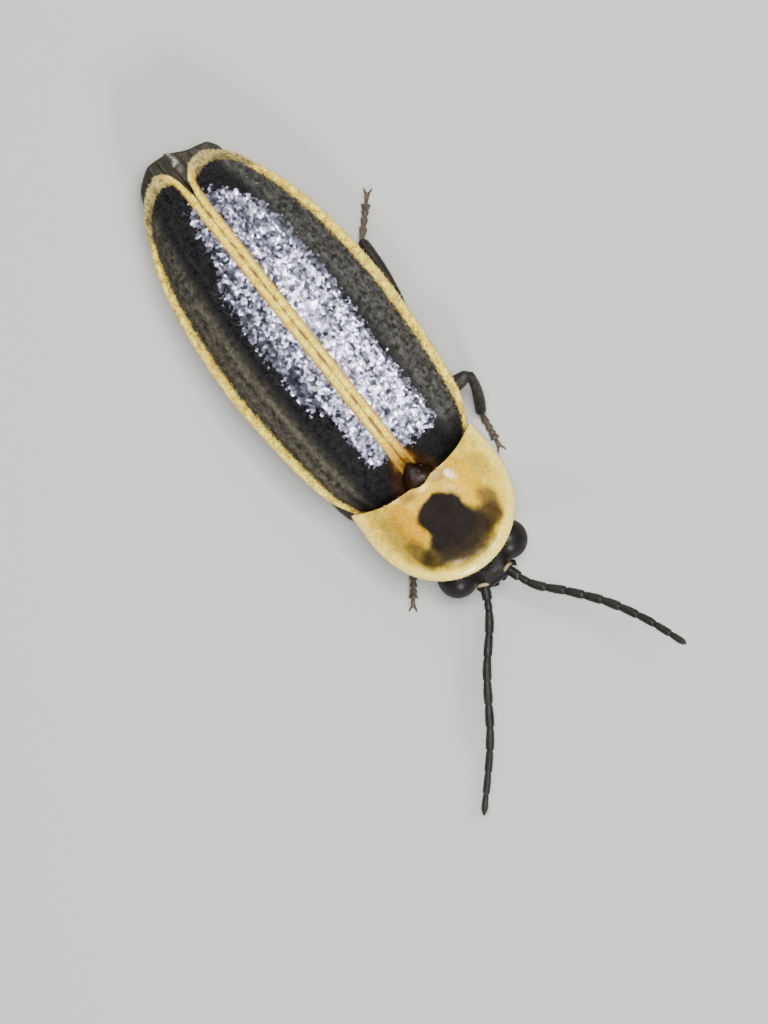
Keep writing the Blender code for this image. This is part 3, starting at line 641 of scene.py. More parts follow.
def membrane_material():
    """Smoky folded wing with darker veins, raised on the mesh and marked there, and a painted glint: one pale
    patch on a fold near the tip.
    """
    material, tree, shader = new_material("wing membrane")
    place = place_mm(tree)
    smoke = blend(clouds(place, 3.0, 4.0, 0.6), (0.006, 0.005, 0.003), (0.045, 0.038, 0.022))
    smoke = blend(attribute(tree, "vein") * 0.7, smoke, (0.016, 0.011, 0.006))
    creases = clouds(place, 6.0, 3.0)
    # Painted glint: a pale patch where light catches the folded tip
    fold_glint = patch(place, 0.1, 10.8, 0.07, 0.3, 0.7) * remap(creases, 0.42, 0.62)
    set_inputs(shader, Base_Color=blend(fold_glint, smoke, (0.30, 0.30, 0.26)), Roughness=0.36,
               Specular_IOR_Level=0.35)
    relief(shader, creases, 0.03)
    return material


def eye_material():
    """Black faceted eye."""
    material, tree, shader = new_material("eye facets")
    tint = blend(clouds(place_mm(tree), 3.0, 3.0), (0.004, 0.004, 0.005), (0.016, 0.013, 0.012))
    set_inputs(shader, Base_Color=tint, Roughness=0.38, Specular_IOR_Level=0.17)
    return material


# Coats of short hairs

POINTS_PER_HAIR = 7

# The size of a hair's patch on the OFBake map
HAIR_PATCH = 0.003

# Hairs' widths at their roots
MARGIN_HAIR_WIDTH = 0.012 * MM
WING_CASE_HAIR_WIDTH = 0.011 * MM
BODY_HAIR_WIDTH = 0.009 * MM
LIMB_HAIR_WIDTH = 0.008 * MM

# Hairs' lengths, and the least and the greatest share of it that a hair takes; the wing cases'
# hairs have their length in the settings
PRONOTUM_HAIR_LENGTH = 0.09 * MM
TRUNK_HAIR_LENGTH = 0.14 * MM
HEAD_HAIR_LENGTH = 0.11 * MM
FEELER_HAIR_LENGTH = 0.085 * MM
LEG_HAIR_LENGTH = 0.12 * MM
FOOT_HAIR_LENGTH = 0.09 * MM
HAIR_SHARES = (0.6, 1.2)


def hair_coat(name, roots, material, slot, seed):
    """Make one mesh of tapered hairs from (root, normal, lie, length, width, lift, uv) in metres.

    Each hair is a thin three-sided spike that leaves its root along the normal and lies over
    towards its lie. Its patch of the OFBake map lies at its root's place on the skin.
    """
    draw = random.Random(seed)
    points, faces, patches = [], [], []
    for root, normal, lie, length, width, lift, uv in roots:
        lie = (lie - normal * lie.dot(normal)).normalized()
        across = normal.cross(lie)
        swing = draw.uniform(-0.35, 0.35)
        lie = (lie + across * swing).normalized()
        across = normal.cross(lie)
        middle = root + (lie * (1 - lift) + normal * lift) * length * 0.5
        tip = root + (lie * (1 - lift * 0.8) + normal * lift * 0.8) * length
        base = root - normal * width * 0.6
        first = len(points)
        for centre, size in ((base, width), (middle, width * 0.7)):
            points += [centre + across * size / 2, centre - across * size / 2, centre + normal * size * 0.8]
        points.append(tip)
        for i in range(3):
            j = (i + 1) % 3
            faces += [(first + i, first + j, first + 3 + j), (first + i, first + 3 + j, first + 3 + i),
                      (first + 3 + i, first + 3 + j, first + 6)]
        faces.append((first + 2, first + 1, first))
        patches.append(uv)
    mesh = bpy.data.meshes.new(name)
    mesh.from_pydata(points, [], faces)
    layer = mesh.uv_layers.new(name="OFBake")
    for loop in mesh.loops:
        hair, corner = divmod(loop.vertex_index, POINTS_PER_HAIR)
        u, v = patches[hair]
        layer.data[loop.index].uv = (u + HAIR_PATCH * (corner % 3) / 3, v + HAIR_PATCH * (corner // 3) / 3)
    obj = bpy.data.objects.new(name, mesh)
    bpy.context.scene.collection.objects.link(obj)
    close_normals(obj)
    return finish_piece(obj, material, slot)


def close_normals(obj):
    """Turn the faces of a mesh of many closed bodies outwards."""
    shape = bmesh.new()
    shape.from_mesh(obj.data)
    bmesh.ops.recalc_face_normals(shape, faces=shape.faces)
    shape.to_mesh(obj.data)
    shape.free()


def hair_on(surface, u, v, lie, length, width, lift):
    """Return a hair's entry for hair_coat at u, v of a surface."""
    return surface(u, v), surface_normal(surface, u, v), lie, length, width, lift, (u * 0.99, v * 0.99)


def surface_normal(point_at, u, v):
    """Return the upward normal of a surface point_at(u, v)."""
    step = 0.004
    along_u = point_at(min(u + step, 1), v) - point_at(max(u - step, 0), v)
    along_v = point_at(u, min(v + step, 1)) - point_at(u, max(v - step, 0))
    normal = along_u.cross(along_v).normalized()
    return normal if normal.z > 0 else -normal


# Wing cases

elytron_margin = smooth_curve((0.0, 1.98), (0.05, 2.24), (0.10, 2.41), (0.25, 2.62), (0.46, 2.74),
                              (0.56, 2.70), (0.69, 2.57), (0.83, 2.29), (1.0, 1.60))
elytron_seam = smooth_curve((0.0, 0.005), (0.92, 0.005), (1.0, 0.13))
elytron_base = smooth_curve((0.0, 0.17), (0.16, -0.10), (0.28, -0.50), (0.6, -0.46), (0.85, -0.34),
                            (1.0, -0.06))
elytron_tips = {
    "left": smooth_curve((0.0, 10.08), (0.2, 10.38), (0.45, 10.47), (0.75, 10.25), (1.0, 9.92)),
    "right": smooth_curve((0.0, 10.28), (0.15, 10.6), (0.3, 10.68), (0.5, 10.58), (0.75, 10.28), (1.0, 9.92)),
}
elytron_crown = smooth_curve((0.0, 2.9), (0.03, 3.12), (0.08, 3.34), (0.3, 3.46), (0.62, 3.34), (0.86, 2.9),
                             (1.0, 2.4))
elytron_edge = smooth_curve((0.0, 2.2), (0.06, 2.34), (0.12, 2.32), (0.4, 2.2), (0.7, 2.05), (1.0, 1.9))
elytron_arch = smooth_curve((0.0, 1.0), (0.1, 1.0), (0.5, 0.9), (0.76, 0.58), (0.93, 0.12), (1.0, 0.0))

# Ridges and grooves by centre, width and height: ribs by their share of the way across, and the
# others by their distance in from the seam or from the margin
RIBS = ((0.30, 0.05, 0.018), (0.50, 0.05, 0.02), (0.72, 0.05, 0.035))
SEAM_RIDGE = (0.10, 0.12, 0.02)
MARGIN_ROLL = (0.05, 0.13, 0.045)
MARGIN_GROOVE = (0.28, 0.14, -0.03)

# How far from the seam the painted sheen reaches, by place along the body, and its strength; both follow
# where the lamp's reflection falls, so the right wing case has less
SHEEN_REACH = {
    "left": smooth_curve((0.4, 1.46), (4.0, 1.5), (6.8, 1.6), (7.7, 1.48), (8.2, 1.36), (8.8, 1.1),
                         (9.4, 0.7)),
    "right": smooth_curve((0.4, 0.8), (2.4, 0.86), (3.0, 1.25), (6.6, 1.2), (7.2, 1.0), (7.7, 0.66),
                          (9.4, 0.5)),
}
SHEEN_FULLNESS = {"left": 1.0, "right": 0.84}

# The pale margin's width, along the side and round the tip, and the seam's half width
RIM_WIDTH = 0.27
TIP_RIM_WIDTH = 0.5
SEAM_WIDTH = 0.2

# Hairs of one wing case, and the share of them that is kept on the pale margins
WING_CASE_HAIRS = 4400
MARGIN_HAIRS = 600
TIP_HAIRS = 220
MARGIN_DOWN_SHARE = 0.22


def elytron_place(label, u, v):
    """Return x, y, z of a wing case's upper surface, given for the left side, without its grain."""
    x = elytron_seam(v) + u * (elytron_margin(v) - elytron_seam(v))
    y = elytron_base(u) + v * (elytron_tips[label](u) - elytron_base(u))
    z = elytron_edge(v) + (elytron_crown(v) - elytron_edge(v)) * elytron_arch(u)
    fade = min(1.0, 8 * v, 5 * (1 - v))
    z += fade * raised(u, *RIBS)
    z += raised(x - elytron_seam(v), SEAM_RIDGE)
    z += raised(elytron_rim(label, u, v), MARGIN_ROLL, MARGIN_GROOVE)
    return x, y, z


def elytron_rim(label, u, v):
    """Return how far a place lies inside the outer margin and tip, in millimetres."""
    tip = elytron_tips[label](u)
    from_margin = (1 - u) * (elytron_margin(v) - elytron_seam(v))
    from_tip = (1 - v) * (tip - elytron_base(u))
    return min(from_margin, from_tip) - 0.25 * max(0.0, 0.4 - abs(from_margin - from_tip)) ** 2


def elytron_sheen(label, u, v):
    """Return how strong the painted sheen is at a place, 0 to 1."""
    x, y, _ = elytron_place(label, u, v)
    inside = smooth_step((SHEEN_REACH[label](y) - x) / 0.5 + 0.5)
    ends = smooth_step((y - 0.28) / 0.5) * (1 - smooth_step((y - 8.9) / 1.1))
    return -0.12 + 1.12 * SHEEN_FULLNESS[label] * inside * ends


def elytron_surface(label, side, grain=0.0):
    """Return the wing case's surface as a function of u and v, in metres."""
    def point_at(u, v):
        x, y, z = elytron_place(label, u, v)
        if grain:
            z += grain * unevenness(x * side, y, 4, 9, 0.5, 1.7, 5.1)
        return at(x * side, y, z)
    return point_at


def keep_numbers(obj, name, value_at):
    """Keep a number on every point of a mesh, worked out from the u and v of its UV map."""
    mesh = obj.data
    numbers = [0.0] * len(mesh.vertices)
    layer = mesh.uv_layers.active
    for loop in mesh.loops:
        u, v = layer.data[loop.index].uv
        numbers[loop.vertex_index] = value_at(u, v)
    mesh.attributes.new(name, "FLOAT", "POINT").data.foreach_set("value", numbers)


def make_wing_cases(sizes, colours):
    """Curved plates with ribs and a rolled rim, which keep the distances that their material reads."""
    material = wing_case_material(colours)
    for label, side in SIDES:
        obj = shaped_sheet("wing_case_" + label, 80, 260, elytron_surface(label, side, grain=0.006))
        if side < 0:
            turn_over(obj)
        apply_modifier(obj, "SOLIDIFY", thickness=sizes.wing_case_thickness, offset=-1.0,
                       use_quality_normals=True)
        keep_numbers(obj, "seam", lambda u, v: u * (elytron_margin(v) - elytron_seam(v)))
        keep_numbers(obj, "rim", lambda u, v: elytron_rim(label, u, v) / rim_width(v))
        keep_numbers(obj, "across", lambda u, v: u)
        keep_numbers(obj, "along", lambda u, v: v)
        # How strong the painted sheen is at each point
        keep_numbers(obj, "sheen", lambda u, v: elytron_sheen(label, u, v))
        finish_piece(obj, material, "wing_case", "elytron_" + label)


def rim_width(v):
    """Return the pale margin's width, which grows towards the tip."""
    return RIM_WIDTH + (TIP_RIM_WIDTH - RIM_WIDTH) * smooth_step((v - 0.93) / 0.06)


def make_wing_case_down(sizes):
    """Short hairs that lie back over the wing cases, and a paler fringe along their margins."""
    draw = random.Random(11)
    dark = down_material("wing case down", (0.008, 0.008, 0.009), (0.034, 0.034, 0.038))
    pale = down_material("margin down", (0.50, 0.38, 0.12), (0.86, 0.74, 0.32))
    for label, side in SIDES:
        surface = elytron_surface(label, side)
        field, fringe = [], []
        for _ in range(WING_CASE_HAIRS):
            u, v = draw.uniform(0.02, 0.985), draw.uniform(0.03, 0.99)
            x, y, _ = elytron_place(label, u, v)
            lie = Vector((side * draw.uniform(-0.1, 0.2), 1.0, 0.0))
            hair = hair_on(surface, u, v, lie, sizes.down_length * draw.uniform(0.7, 1.2),
                           WING_CASE_HAIR_WIDTH, draw.uniform(0.12, 0.3))
            if x - elytron_seam(v) >= SEAM_WIDTH and elytron_rim(label, u, v) >= rim_width(v):
                field.append(hair)
            elif draw.random() < MARGIN_DOWN_SHARE:
                fringe.append(hair)
        for _ in range(MARGIN_HAIRS):
            v, u = draw.uniform(0.05, 1.0), draw.uniform(0.975, 1.0)
            lie = Vector((side * draw.uniform(0.5, 1.2), draw.uniform(0.2, 1.0), 0.0))
            fringe.append(hair_on(surface, u, v, lie, sizes.down_length * draw.uniform(0.5, 0.9),
                                  MARGIN_HAIR_WIDTH, draw.uniform(0.0, 0.4)))
        for _ in range(TIP_HAIRS):
            u, v = draw.uniform(0.05, 1.0), draw.uniform(0.985, 1.0)
            lie = Vector((side * draw.uniform(-0.2, 0.5), 1.0, 0.0))
            fringe.append(hair_on(surface, u, v, lie, sizes.down_length * draw.uniform(0.5, 0.8),
                                  MARGIN_HAIR_WIDTH, draw.uniform(0.0, 0.3)))
        hair_coat("wing_case_down_" + label, field, dark, "wing_case", 21)
        hair_coat("wing_case_fringe_" + label, fringe, pale, "wing_case", 22)


# Pronotum and scutellum

pronotum_crown = smooth_curve((0.0, 3.24), (0.3, 3.34), (0.75, 3.08), (1.0, 2.76))
pronotum_edge = smooth_curve((0.0, 2.46), (0.5, 2.4), (1.0, 2.4))
PRONOTUM_HALF_WIDTH = 2.15
PRONOTUM_CORNER_HALF_WIDTH = 2.09
PRONOTUM_FRONT = -3.38
PRONOTUM_WIDEST = -0.9
PRONOTUM_REAR = -0.46
PRONOTUM_CORNER = -0.03
PRONOTUM_MIDDLE = -1.7
PRONOTUM_HAIRS = 2600

# Ridges and grooves by centre, width and height: two by distance from the rim and one on the middle
PRONOTUM_ROLL = (0.1, 0.24, 0.045)
PRONOTUM_GROOVE = (0.46, 0.3, -0.04)
PRONOTUM_FURROW = (0.0, 0.2, -0.012)

# Low swells and one hollow: centre x and y, reach and height
PRONOTUM_SWELLS = ((0.96, -0.84, 0.5, 0.07), (-0.8, -1.05, 0.6, 0.04), (0.0, -1.6, 0.8, -0.05))


def pronotum_rear_y(across):
    """Return the rear edge's y at a share of the half width."""
    notch = 0.11 * bump(across, 0.0, 0.2)
    return PRONOTUM_REAR + (PRONOTUM_CORNER - PRONOTUM_REAR) * abs(across) ** 3 - notch


def pronotum_front_y(across):
    """Return the front edge's y at a share of the half width."""
    return PRONOTUM_WIDEST + (PRONOTUM_FRONT - PRONOTUM_WIDEST) * max(0.0, 1 - across * across) ** 0.44


def pronotum_outline():
    """Return the pronotum's outline as evenly spaced points, in order round it."""
    steps = [step / 400 for step in range(401)]
    corners = PRONOTUM_HALF_WIDTH - PRONOTUM_CORNER_HALF_WIDTH
    points = [(PRONOTUM_CORNER_HALF_WIDTH * (2 * t - 1), pronotum_rear_y(2 * t - 1)) for t in steps]
    for side in (1, -1):
        edge = [(side * (PRONOTUM_CORNER_HALF_WIDTH + corners * t**0.5),
                 PRONOTUM_CORNER + (PRONOTUM_WIDEST - PRONOTUM_CORNER) * t) for t in steps[::4]]
        if side > 0:
            points += edge
            points += [(PRONOTUM_HALF_WIDTH * math.cos(math.pi * t), pronotum_front_y(math.cos(math.pi * t)))
                       for t in steps]
        else:
            points += edge[::-1]
    return [point for point, after in zip(points, points[1:] + points[:1]) if math.dist(point, after) > 1e-6]


def line_by_distance(points):
    """Return a function that runs once round a closed line of points as t goes from 0 to 1."""
    closed = points + points[:1]
    places = [0.0]
    for a, b in zip(closed, closed[1:]):
        places.append(places[-1] + math.dist(a, b))

    def point_at(t):
        place = min(max(t, 0.0), 1.0) * places[-1]
        i = min(bisect.bisect_right(places, place) - 1, len(closed) - 2)
        share = (place - places[i]) / (places[i + 1] - places[i])
        return tuple(a + (b - a) * share for a, b in zip(closed[i], closed[i + 1]))

    return point_at


def distance_finder(points):
    """Return a function that gives the distance from x, y to the nearest of a line of points."""
    tree = kdtree.KDTree(len(points))
    for index, (x, y) in enumerate(points):
        tree.insert((x, y, 0.0), index)
    tree.balance()
    return lambda x, y: tree.find((x, y, 0.0))[2]


outline_at = line_by_distance(pronotum_outline())
pronotum_rim = distance_finder([point for point in (outline_at(step / 1500) for step in range(1500))
                                if abs(point[0]) > 2.0 or point[1] < PRONOTUM_WIDEST])


def pronotum_height(x, y):
    """Return the height of the pronotum's upper surface over x and y, in millimetres."""
    across = min(1.0, abs(x) / PRONOTUM_HALF_WIDTH)
    rear, front = pronotum_rear_y(across), pronotum_front_y(across)
    v = min(1.0, max(0.0, (y - rear) / (front - rear)))
    z = pronotum_edge(v) + (pronotum_crown(v) - pronotum_edge(v)) * (1 - across**2.6)
    z += raised(pronotum_rim(x, y), PRONOTUM_ROLL, PRONOTUM_GROOVE) + raised(x, PRONOTUM_FURROW)
    for centre_x, centre_y, reach, rise in PRONOTUM_SWELLS:
        z += rise * bump(math.hypot(x - centre_x, y - centre_y), 0.0, reach)
    return z


def pronotum_surface(grain=0.0):
    """Return the surface by u, once round the outline, and v, from the middle to the rim."""
    def point_at(u, v):
        x, y = outline_at(u)
        x, y = x * v, PRONOTUM_MIDDLE + (y - PRONOTUM_MIDDLE) * v
        z = pronotum_height(x, y)
        if grain:
            z += grain * unevenness(x, y, 5, 11, 0.6, 3.3, 8.1)
        return at(x, y, z)
    return point_at


def make_pronotum(sizes, colours):
    """Shield with a rolled rim, and its down."""
    obj = shaped_sheet("pronotum_shield", 280, 60, pronotum_surface(grain=0.007))
    close_body(obj)
    if sum(face.normal.z for face in obj.data.polygons) < 0:
        turn_over(obj)
    apply_modifier(obj, "SOLIDIFY", thickness=sizes.pronotum_thickness, offset=-1.0)
    rims = []
    for vertex in obj.data.vertices:
        place = (vertex.co - ORIGIN) / MM
        rims.append(pronotum_rim(place.x, place.y))
    obj.data.attributes.new("rim", "FLOAT", "POINT").data.foreach_set("value", rims)
    finish_piece(obj, pronotum_material(colours), "pronotum", "pronotum")
    draw = random.Random(31)
    surface = pronotum_surface()
    roots = []
    for _ in range(PRONOTUM_HAIRS):
        u, v = draw.random(), draw.uniform(0.05, 0.995) ** 0.5
        x, y = ((surface(u, v) - ORIGIN) / MM).xy
        if math.hypot(x / 1.55, (y + 1.9) / 1.3) < draw.uniform(0.9, 1.1):
            continue
        root, normal = surface(u, v), surface_normal(surface, u, v)
        lie = Vector((x * 0.3, -0.6 if y < -2.9 else 0.8, 0.0))
        roots.append((root, normal, lie, PRONOTUM_HAIR_LENGTH * draw.uniform(*HAIR_SHARES),
                      BODY_HAIR_WIDTH, draw.uniform(0.1, 0.4), (x / 4.4 + 0.5, -y / 3.5)))
    hair_coat("pronotum_down", roots, down_material("pronotum down", (0.5, 0.32, 0.08), (0.85, 0.66, 0.28)),
              "pronotum", 32)


scutellum_half_width = smooth_curve((0.0, 0.40), (0.18, 0.45), (0.5, 0.38), (0.8, 0.24), (1.0, 0.07))
scutellum_top = smooth_curve((0.0, 3.0), (0.25, 3.12), (0.7, 3.13), (1.0, 3.06))
SCUTELLUM_ENDS = (-0.66, 0.14)
SCUTELLUM_THICKNESS = 0.2 * MM

# Two small knobs: x and y
SCUTELLUM_KNOBS = ((-0.14, -0.27), (0.18, -0.2))


def make_scutellum():
    """Domed three-cornered shield between the bases of the wing cases."""
    def point_at(u, v):
        y = SCUTELLUM_ENDS[0] + v * (SCUTELLUM_ENDS[1] - SCUTELLUM_ENDS[0])
        across = 2 * u - 1
        x = scutellum_half_width(v) * across
        z = scutellum_top(v) - 0.13 * abs(across) ** 2.6
        for knob_x, knob_y in SCUTELLUM_KNOBS:
            z += 0.03 * bump(math.hypot(x - knob_x, y - knob_y), 0.0, 0.13)
        return at(x, y, z)

    obj = shaped_sheet("scutellum_plate", 28, 28, point_at)
    apply_modifier(obj, "SOLIDIFY", thickness=SCUTELLUM_THICKNESS, offset=-1.0)
    material = cuticle_material("scutellum cuticle", (0.006, 0.0025, 0.0012), (0.016, 0.0055, 0.002), 0.4,
                                grains=14.0, shine=0.12)
    finish_piece(obj, material, "scutellum", "scutellum")


# Hind wings

wing_outer = smooth_curve((0.0, 1.15), (0.2, 1.6), (0.6, 1.6), (0.85, 1.5), (1.0, 1.36))
wing_inner = smooth_curve((0.0, 0.1), (0.8, 0.1), (0.9, 0.01), (1.0, 0.0))
wing_crown = smooth_curve((0.0, 2.78), (0.5, 2.74), (0.75, 2.36), (0.88, 1.96), (1.0, 1.54))
wing_ends = {
    "left": smooth_curve((0.0, 11.14), (0.2, 10.98), (0.45, 10.82), (0.85, 10.68), (1.0, 10.4)),
    "right": smooth_curve((0.0, 11.1), (0.35, 11.14), (0.7, 10.9), (0.88, 10.66), (1.0, 10.3)),
}
WING_START = 1.8
WING_THICKNESS = 0.12 * MM
WING_VEINS = (0.2, 0.42, 0.64, 0.84)


def wing_surface(label, side):
    """Return the folded hind wing's surface as a function of u and v, in metres."""
    def point_at(u, v):
        x = wing_inner(v) + u * (wing_outer(v) - wing_inner(v))
        y = WING_START + v * (wing_ends[label](u) - WING_START)
        z = wing_crown(v) - 0.36 * (x / 1.6) ** 2.2 - 0.05
        z += 0.022 * max(bump(u, vein, 0.03) for vein in WING_VEINS)
        z += 0.05 * noise.noise(Vector((x * 1.6 * side, y * 1.1, 4.0)))
        return at(x * side, y, z)
    return point_at


def make_hind_wings():
    """Folded hind wings with raised veins."""
    material = membrane_material()
    for label, side in SIDES:
        obj = shaped_sheet("hind_wing_" + label, 72, 110, wing_surface(label, side))
        if side < 0:
            turn_over(obj)
        apply_modifier(obj, "SOLIDIFY", thickness=WING_THICKNESS, offset=-1.0)
        keep_numbers(obj, "vein", lambda u, v: max(bump(u, vein, 0.035) for vein in WING_VEINS))
        finish_piece(obj, material, "wing_membrane", "hindwing_" + label)


# Trunk

body_half_width = smooth_curve((-1.75, 1.0), (-1.2, 1.35), (0.0, 1.5), (1.6, 1.95), (4.0, 2.15), (6.2, 2.36),
                               (8.4, 2.15), (9.6, 1.6), (10.75, 0.55))
body_top = smooth_curve((-1.75, 2.3), (-0.9, 2.84), (-0.2, 2.82), (0.8, 2.5), (1.6, 2.46), (1.76, 1.98),
                        (6.0, 1.94), (8.5, 1.56), (9.8, 1.26), (10.75, 1.08))
body_bottom = smooth_curve((-1.75, 1.15), (0.0, 1.02), (4.0, 0.98), (6.5, 0.8), (9.0, 0.62), (10.75, 0.72))
body_level = smooth_curve((-1.75, 1.7), (0.0, 1.65), (4.0, 1.45), (8.0, 1.2), (10.75, 0.95))
TRUNK_ENDS = (-1.85, 10.72)
TRUNK_HAIRS = 5000

# How quickly the trunk rounds off towards its front and rear ends, and its waists by centre, width
# and height
TRUNK_ROUNDING = (36, 30)
TRUNK_WAISTS = ((-0.3, 0.16, -0.16), (1.68, 0.14, -0.10), (4.07, 0.1, -0.08))


def trunk_share(y):
    """Return how full the trunk is at y: pinched between its lengths, tiled along the abdomen."""
    if y < ABDOMEN[0]:
        return 1 + raised(y, *TRUNK_WAISTS)
    phase = ((y - ABDOMEN[0]) / RING_PITCH) % 1.0
    return 0.945 + 0.065 * min(1.0, phase * 1.3) - 0.05 * bump(phase, 1.0, 0.06)


def trunk_place(u, v):
    """Return x, y, z of the trunk's skin: u round it, v from neck to tail."""
    y = TRUNK_ENDS[0] + v * (TRUNK_ENDS[1] - TRUNK_ENDS[0])
    angle = 2 * math.pi * u
    cosine, sine = math.cos(angle), math.sin(angle)
    front, rear = TRUNK_ROUNDING
    share = trunk_share(y) * min(1.0, math.sqrt(v * front), math.sqrt((1 - v) * rear))
    power = 2 / 2.1
    level = body_level(y)
    x = body_half_width(y) * share * math.copysign(abs(cosine) ** power, cosine)
    reach = body_top(y) - level if sine > 0 else level - body_bottom(y)
    z = level + reach * share * math.copysign(abs(sine) ** power, sine)
    return x, y, z


def make_trunk(colours):
    """One skin over thorax and abdomen, and its down."""
    obj = shaped_tube("trunk_skin", 84, 300, lambda u, v: at(*trunk_place(u, v)))
    names = ["prothorax", "mesothorax", "metathorax", "pygidium"]
    names += ["abdomen_segment_%d" % number for number in range(1, ABDOMEN_SEGMENTS + 1)]
    finish_piece(obj, trunk_material(colours), "abdomen", *names)
    draw = random.Random(41)
    roots = []
    for _ in range(TRUNK_HAIRS):
        u, v = draw.uniform(0.45, 1.05), draw.uniform(0.01, 0.995)
        x, y, z = trunk_place(u, v)
        normal = Vector((x / body_half_width(y) ** 2, 0.0, (z - body_level(y)) / 0.4)).normalized()
        roots.append((at(x, y, z), normal, Vector((0.0, 1.0, 0.0)),
                      TRUNK_HAIR_LENGTH * draw.uniform(*HAIR_SHARES), BODY_HAIR_WIDTH,
                      draw.uniform(0.1, 0.35), (u % 1.0 * 0.99, v * 0.99)))
    hair_coat("trunk_down", roots, down_material("trunk down", (0.2, 0.15, 0.09), (0.55, 0.47, 0.32)),
              "abdomen", 42)


# Head

# Middle of the capsule, and how far it reaches to each side, ahead and up
HEAD_CENTRE = (0.0, -2.86, 1.56)
HEAD_REACH = (1.0, 1.08, 0.54)
HEAD_HAIRS = 1300

# The neck's stations: y and radius
NECK = ((-2.5, 0.5), (-2.35, 0.6), (-1.7, 0.66), (-1.4, 0.6))

# Pushes that shape the capsule by centre, reach and shift: brow, crown, feeler sockets, cheeks and
# mouth. Those off the middle go on both sides
HEAD_PUSHES = (((0.0, -3.9, 1.75), 0.8, (0.0, -0.08, 0.16)),
               ((0.0, -3.2, 2.2), 0.6, (0.0, 0.0, -0.12)),
               ((0.34, -3.8, 1.85), 0.32, (0.03, -0.1, 0.08)),
               ((0.75, -3.8, 1.5), 0.5, (-0.12, 0.12, 0.0)),
               ((0.0, -3.85, 1.2), 0.5, (0.0, -0.04, -0.08)))

# The two palps of a side: root, tip and girth
PALPS = (((0.48, -3.42, 1.16), (0.62, -3.98, 0.88), 0.075),
         ((0.2, -3.46, 1.08), (0.24, -3.84, 0.84), 0.055))

# How far the skin between the eyes' facets lies below them
FACET_DEPTH = 0.009


def make_head():
    """Head capsule with jaws, palps and neck, and its down."""
    obj = add_primitive("head_capsule", bpy.ops.mesh.primitive_uv_sphere_add, segments=72, ring_count=48,
                        radius=1.0 * MM, location=at(*HEAD_CENTRE))
    obj.scale = HEAD_REACH
    apply_transform()
    for (x, y, z), reach, (outward, back, rise) in HEAD_PUSHES:
        for side in (1, -1) if x else (1,):
            push(obj, (x * side, y, z), reach, (outward * side, back, rise))
    parts = [obj]
    for side in (1, -1):
        jaw = [((side * (0.32 - 0.27 * t * t), -3.62 - 0.44 * math.sin(1.5 * t), 1.36 - 0.12 * t),
                0.11 * (1 - t) ** 0.6 + 0.012) for t in (i / 8 for i in range(9))]
        parts.append(tube("jaw", jaw))
        for root, tip, girth in PALPS:
            parts += make_palp(side, root, tip, girth)
    parts.append(tube("neck", [((0.0, y, 1.62), radius) for y, radius in NECK], 8))
    obj = join_pieces("head_capsule", parts)
    material = cuticle_material("head cuticle", (0.004, 0.0035, 0.003), (0.011, 0.009, 0.007), 0.48,
                                grains=13.0, shine=0.14)
    finish_piece(obj, material, "head", "head")
    draw = random.Random(51)
    roots = []
    for _ in range(HEAD_HAIRS):
        angle, rise = draw.uniform(0, 2 * math.pi), draw.uniform(-0.9, 0.9)
        level = math.sqrt(1 - rise * rise)
        normal = Vector((math.cos(angle) * level, math.sin(angle) * level, rise))
        if normal.y > 0.3:
            continue
        place = (normal.x * 0.98, HEAD_CENTRE[1] + normal.y * 1.06, HEAD_CENTRE[2] + normal.z * 0.53)
        roots.append((at(*place), normal, Vector((0.0, -1.0, -0.2)),
                      HEAD_HAIR_LENGTH * draw.uniform(*HAIR_SHARES), LIMB_HAIR_WIDTH,
                      draw.uniform(0.2, 0.5), (angle / 6.4, rise / 2 + 0.5)))
    hair_coat("head_down", roots, down_material("head down", (0.03, 0.026, 0.02), (0.13, 0.115, 0.09)),
              "head", 52)


# Of each joint of a palp: where it starts and ends and how wide it is; then two ways to swell along it
PALP_JOINTS = ((0.0, 0.25, 0.8), (0.25, 0.45, 0.9), (0.45, 0.62, 0.95), (0.62, 1.0, 1.3))
PALP_JOINT_SWELL = ((0.0, 0.5), (0.12, 0.75), (0.35, 0.85), (0.65, 1.0), (0.88, 0.6), (1.0, 0.6))
PALP_END_SWELL = ((0.0, 0.35), (0.12, 0.75), (0.35, 1.0), (0.65, 0.65), (0.88, 0.2), (1.0, 0.2))


def make_palp(side, root, tip, girth):
    """Return the tubes of one palp: three short joints and a spindle-shaped last one."""
    parts = []
    start, end = Vector(root), Vector(tip)
    start.x *= side
    end.x *= side
    for low, high, wide in PALP_JOINTS:
        swelling = PALP_END_SWELL if high == 1.0 else PALP_JOINT_SWELL
        stations = [(tuple(start.lerp(end, low + (high - low) * t)), girth * wide * swell)
                    for t, swell in swelling]
        parts.append(tube("palp", stations, 3))
    return parts


def make_eyes():
    """Faceted balls: each point of a fine ball is a facet's middle and stands a little proud."""
    material = eye_material()
    for label, side in SIDES:
        x, y, z = EYE_CENTRE
        obj = add_primitive("eye_facets_" + label, bpy.ops.mesh.primitive_ico_sphere_add, subdivisions=5,
                            radius=EYE_RADIUS * MM)
        facets = len(obj.data.vertices)
        with whole_mesh_in_edit_mode(obj):
            bpy.ops.mesh.subdivide(number_cuts=1)
        for vertex in obj.data.vertices:
            reach = EYE_RADIUS if vertex.index < facets else EYE_RADIUS - FACET_DEPTH
            vertex.co = at(x * side, y, z) + vertex.co.normalized() * reach * MM
        finish_piece(obj, material, "eye", "eye_" + label)


# Feelers

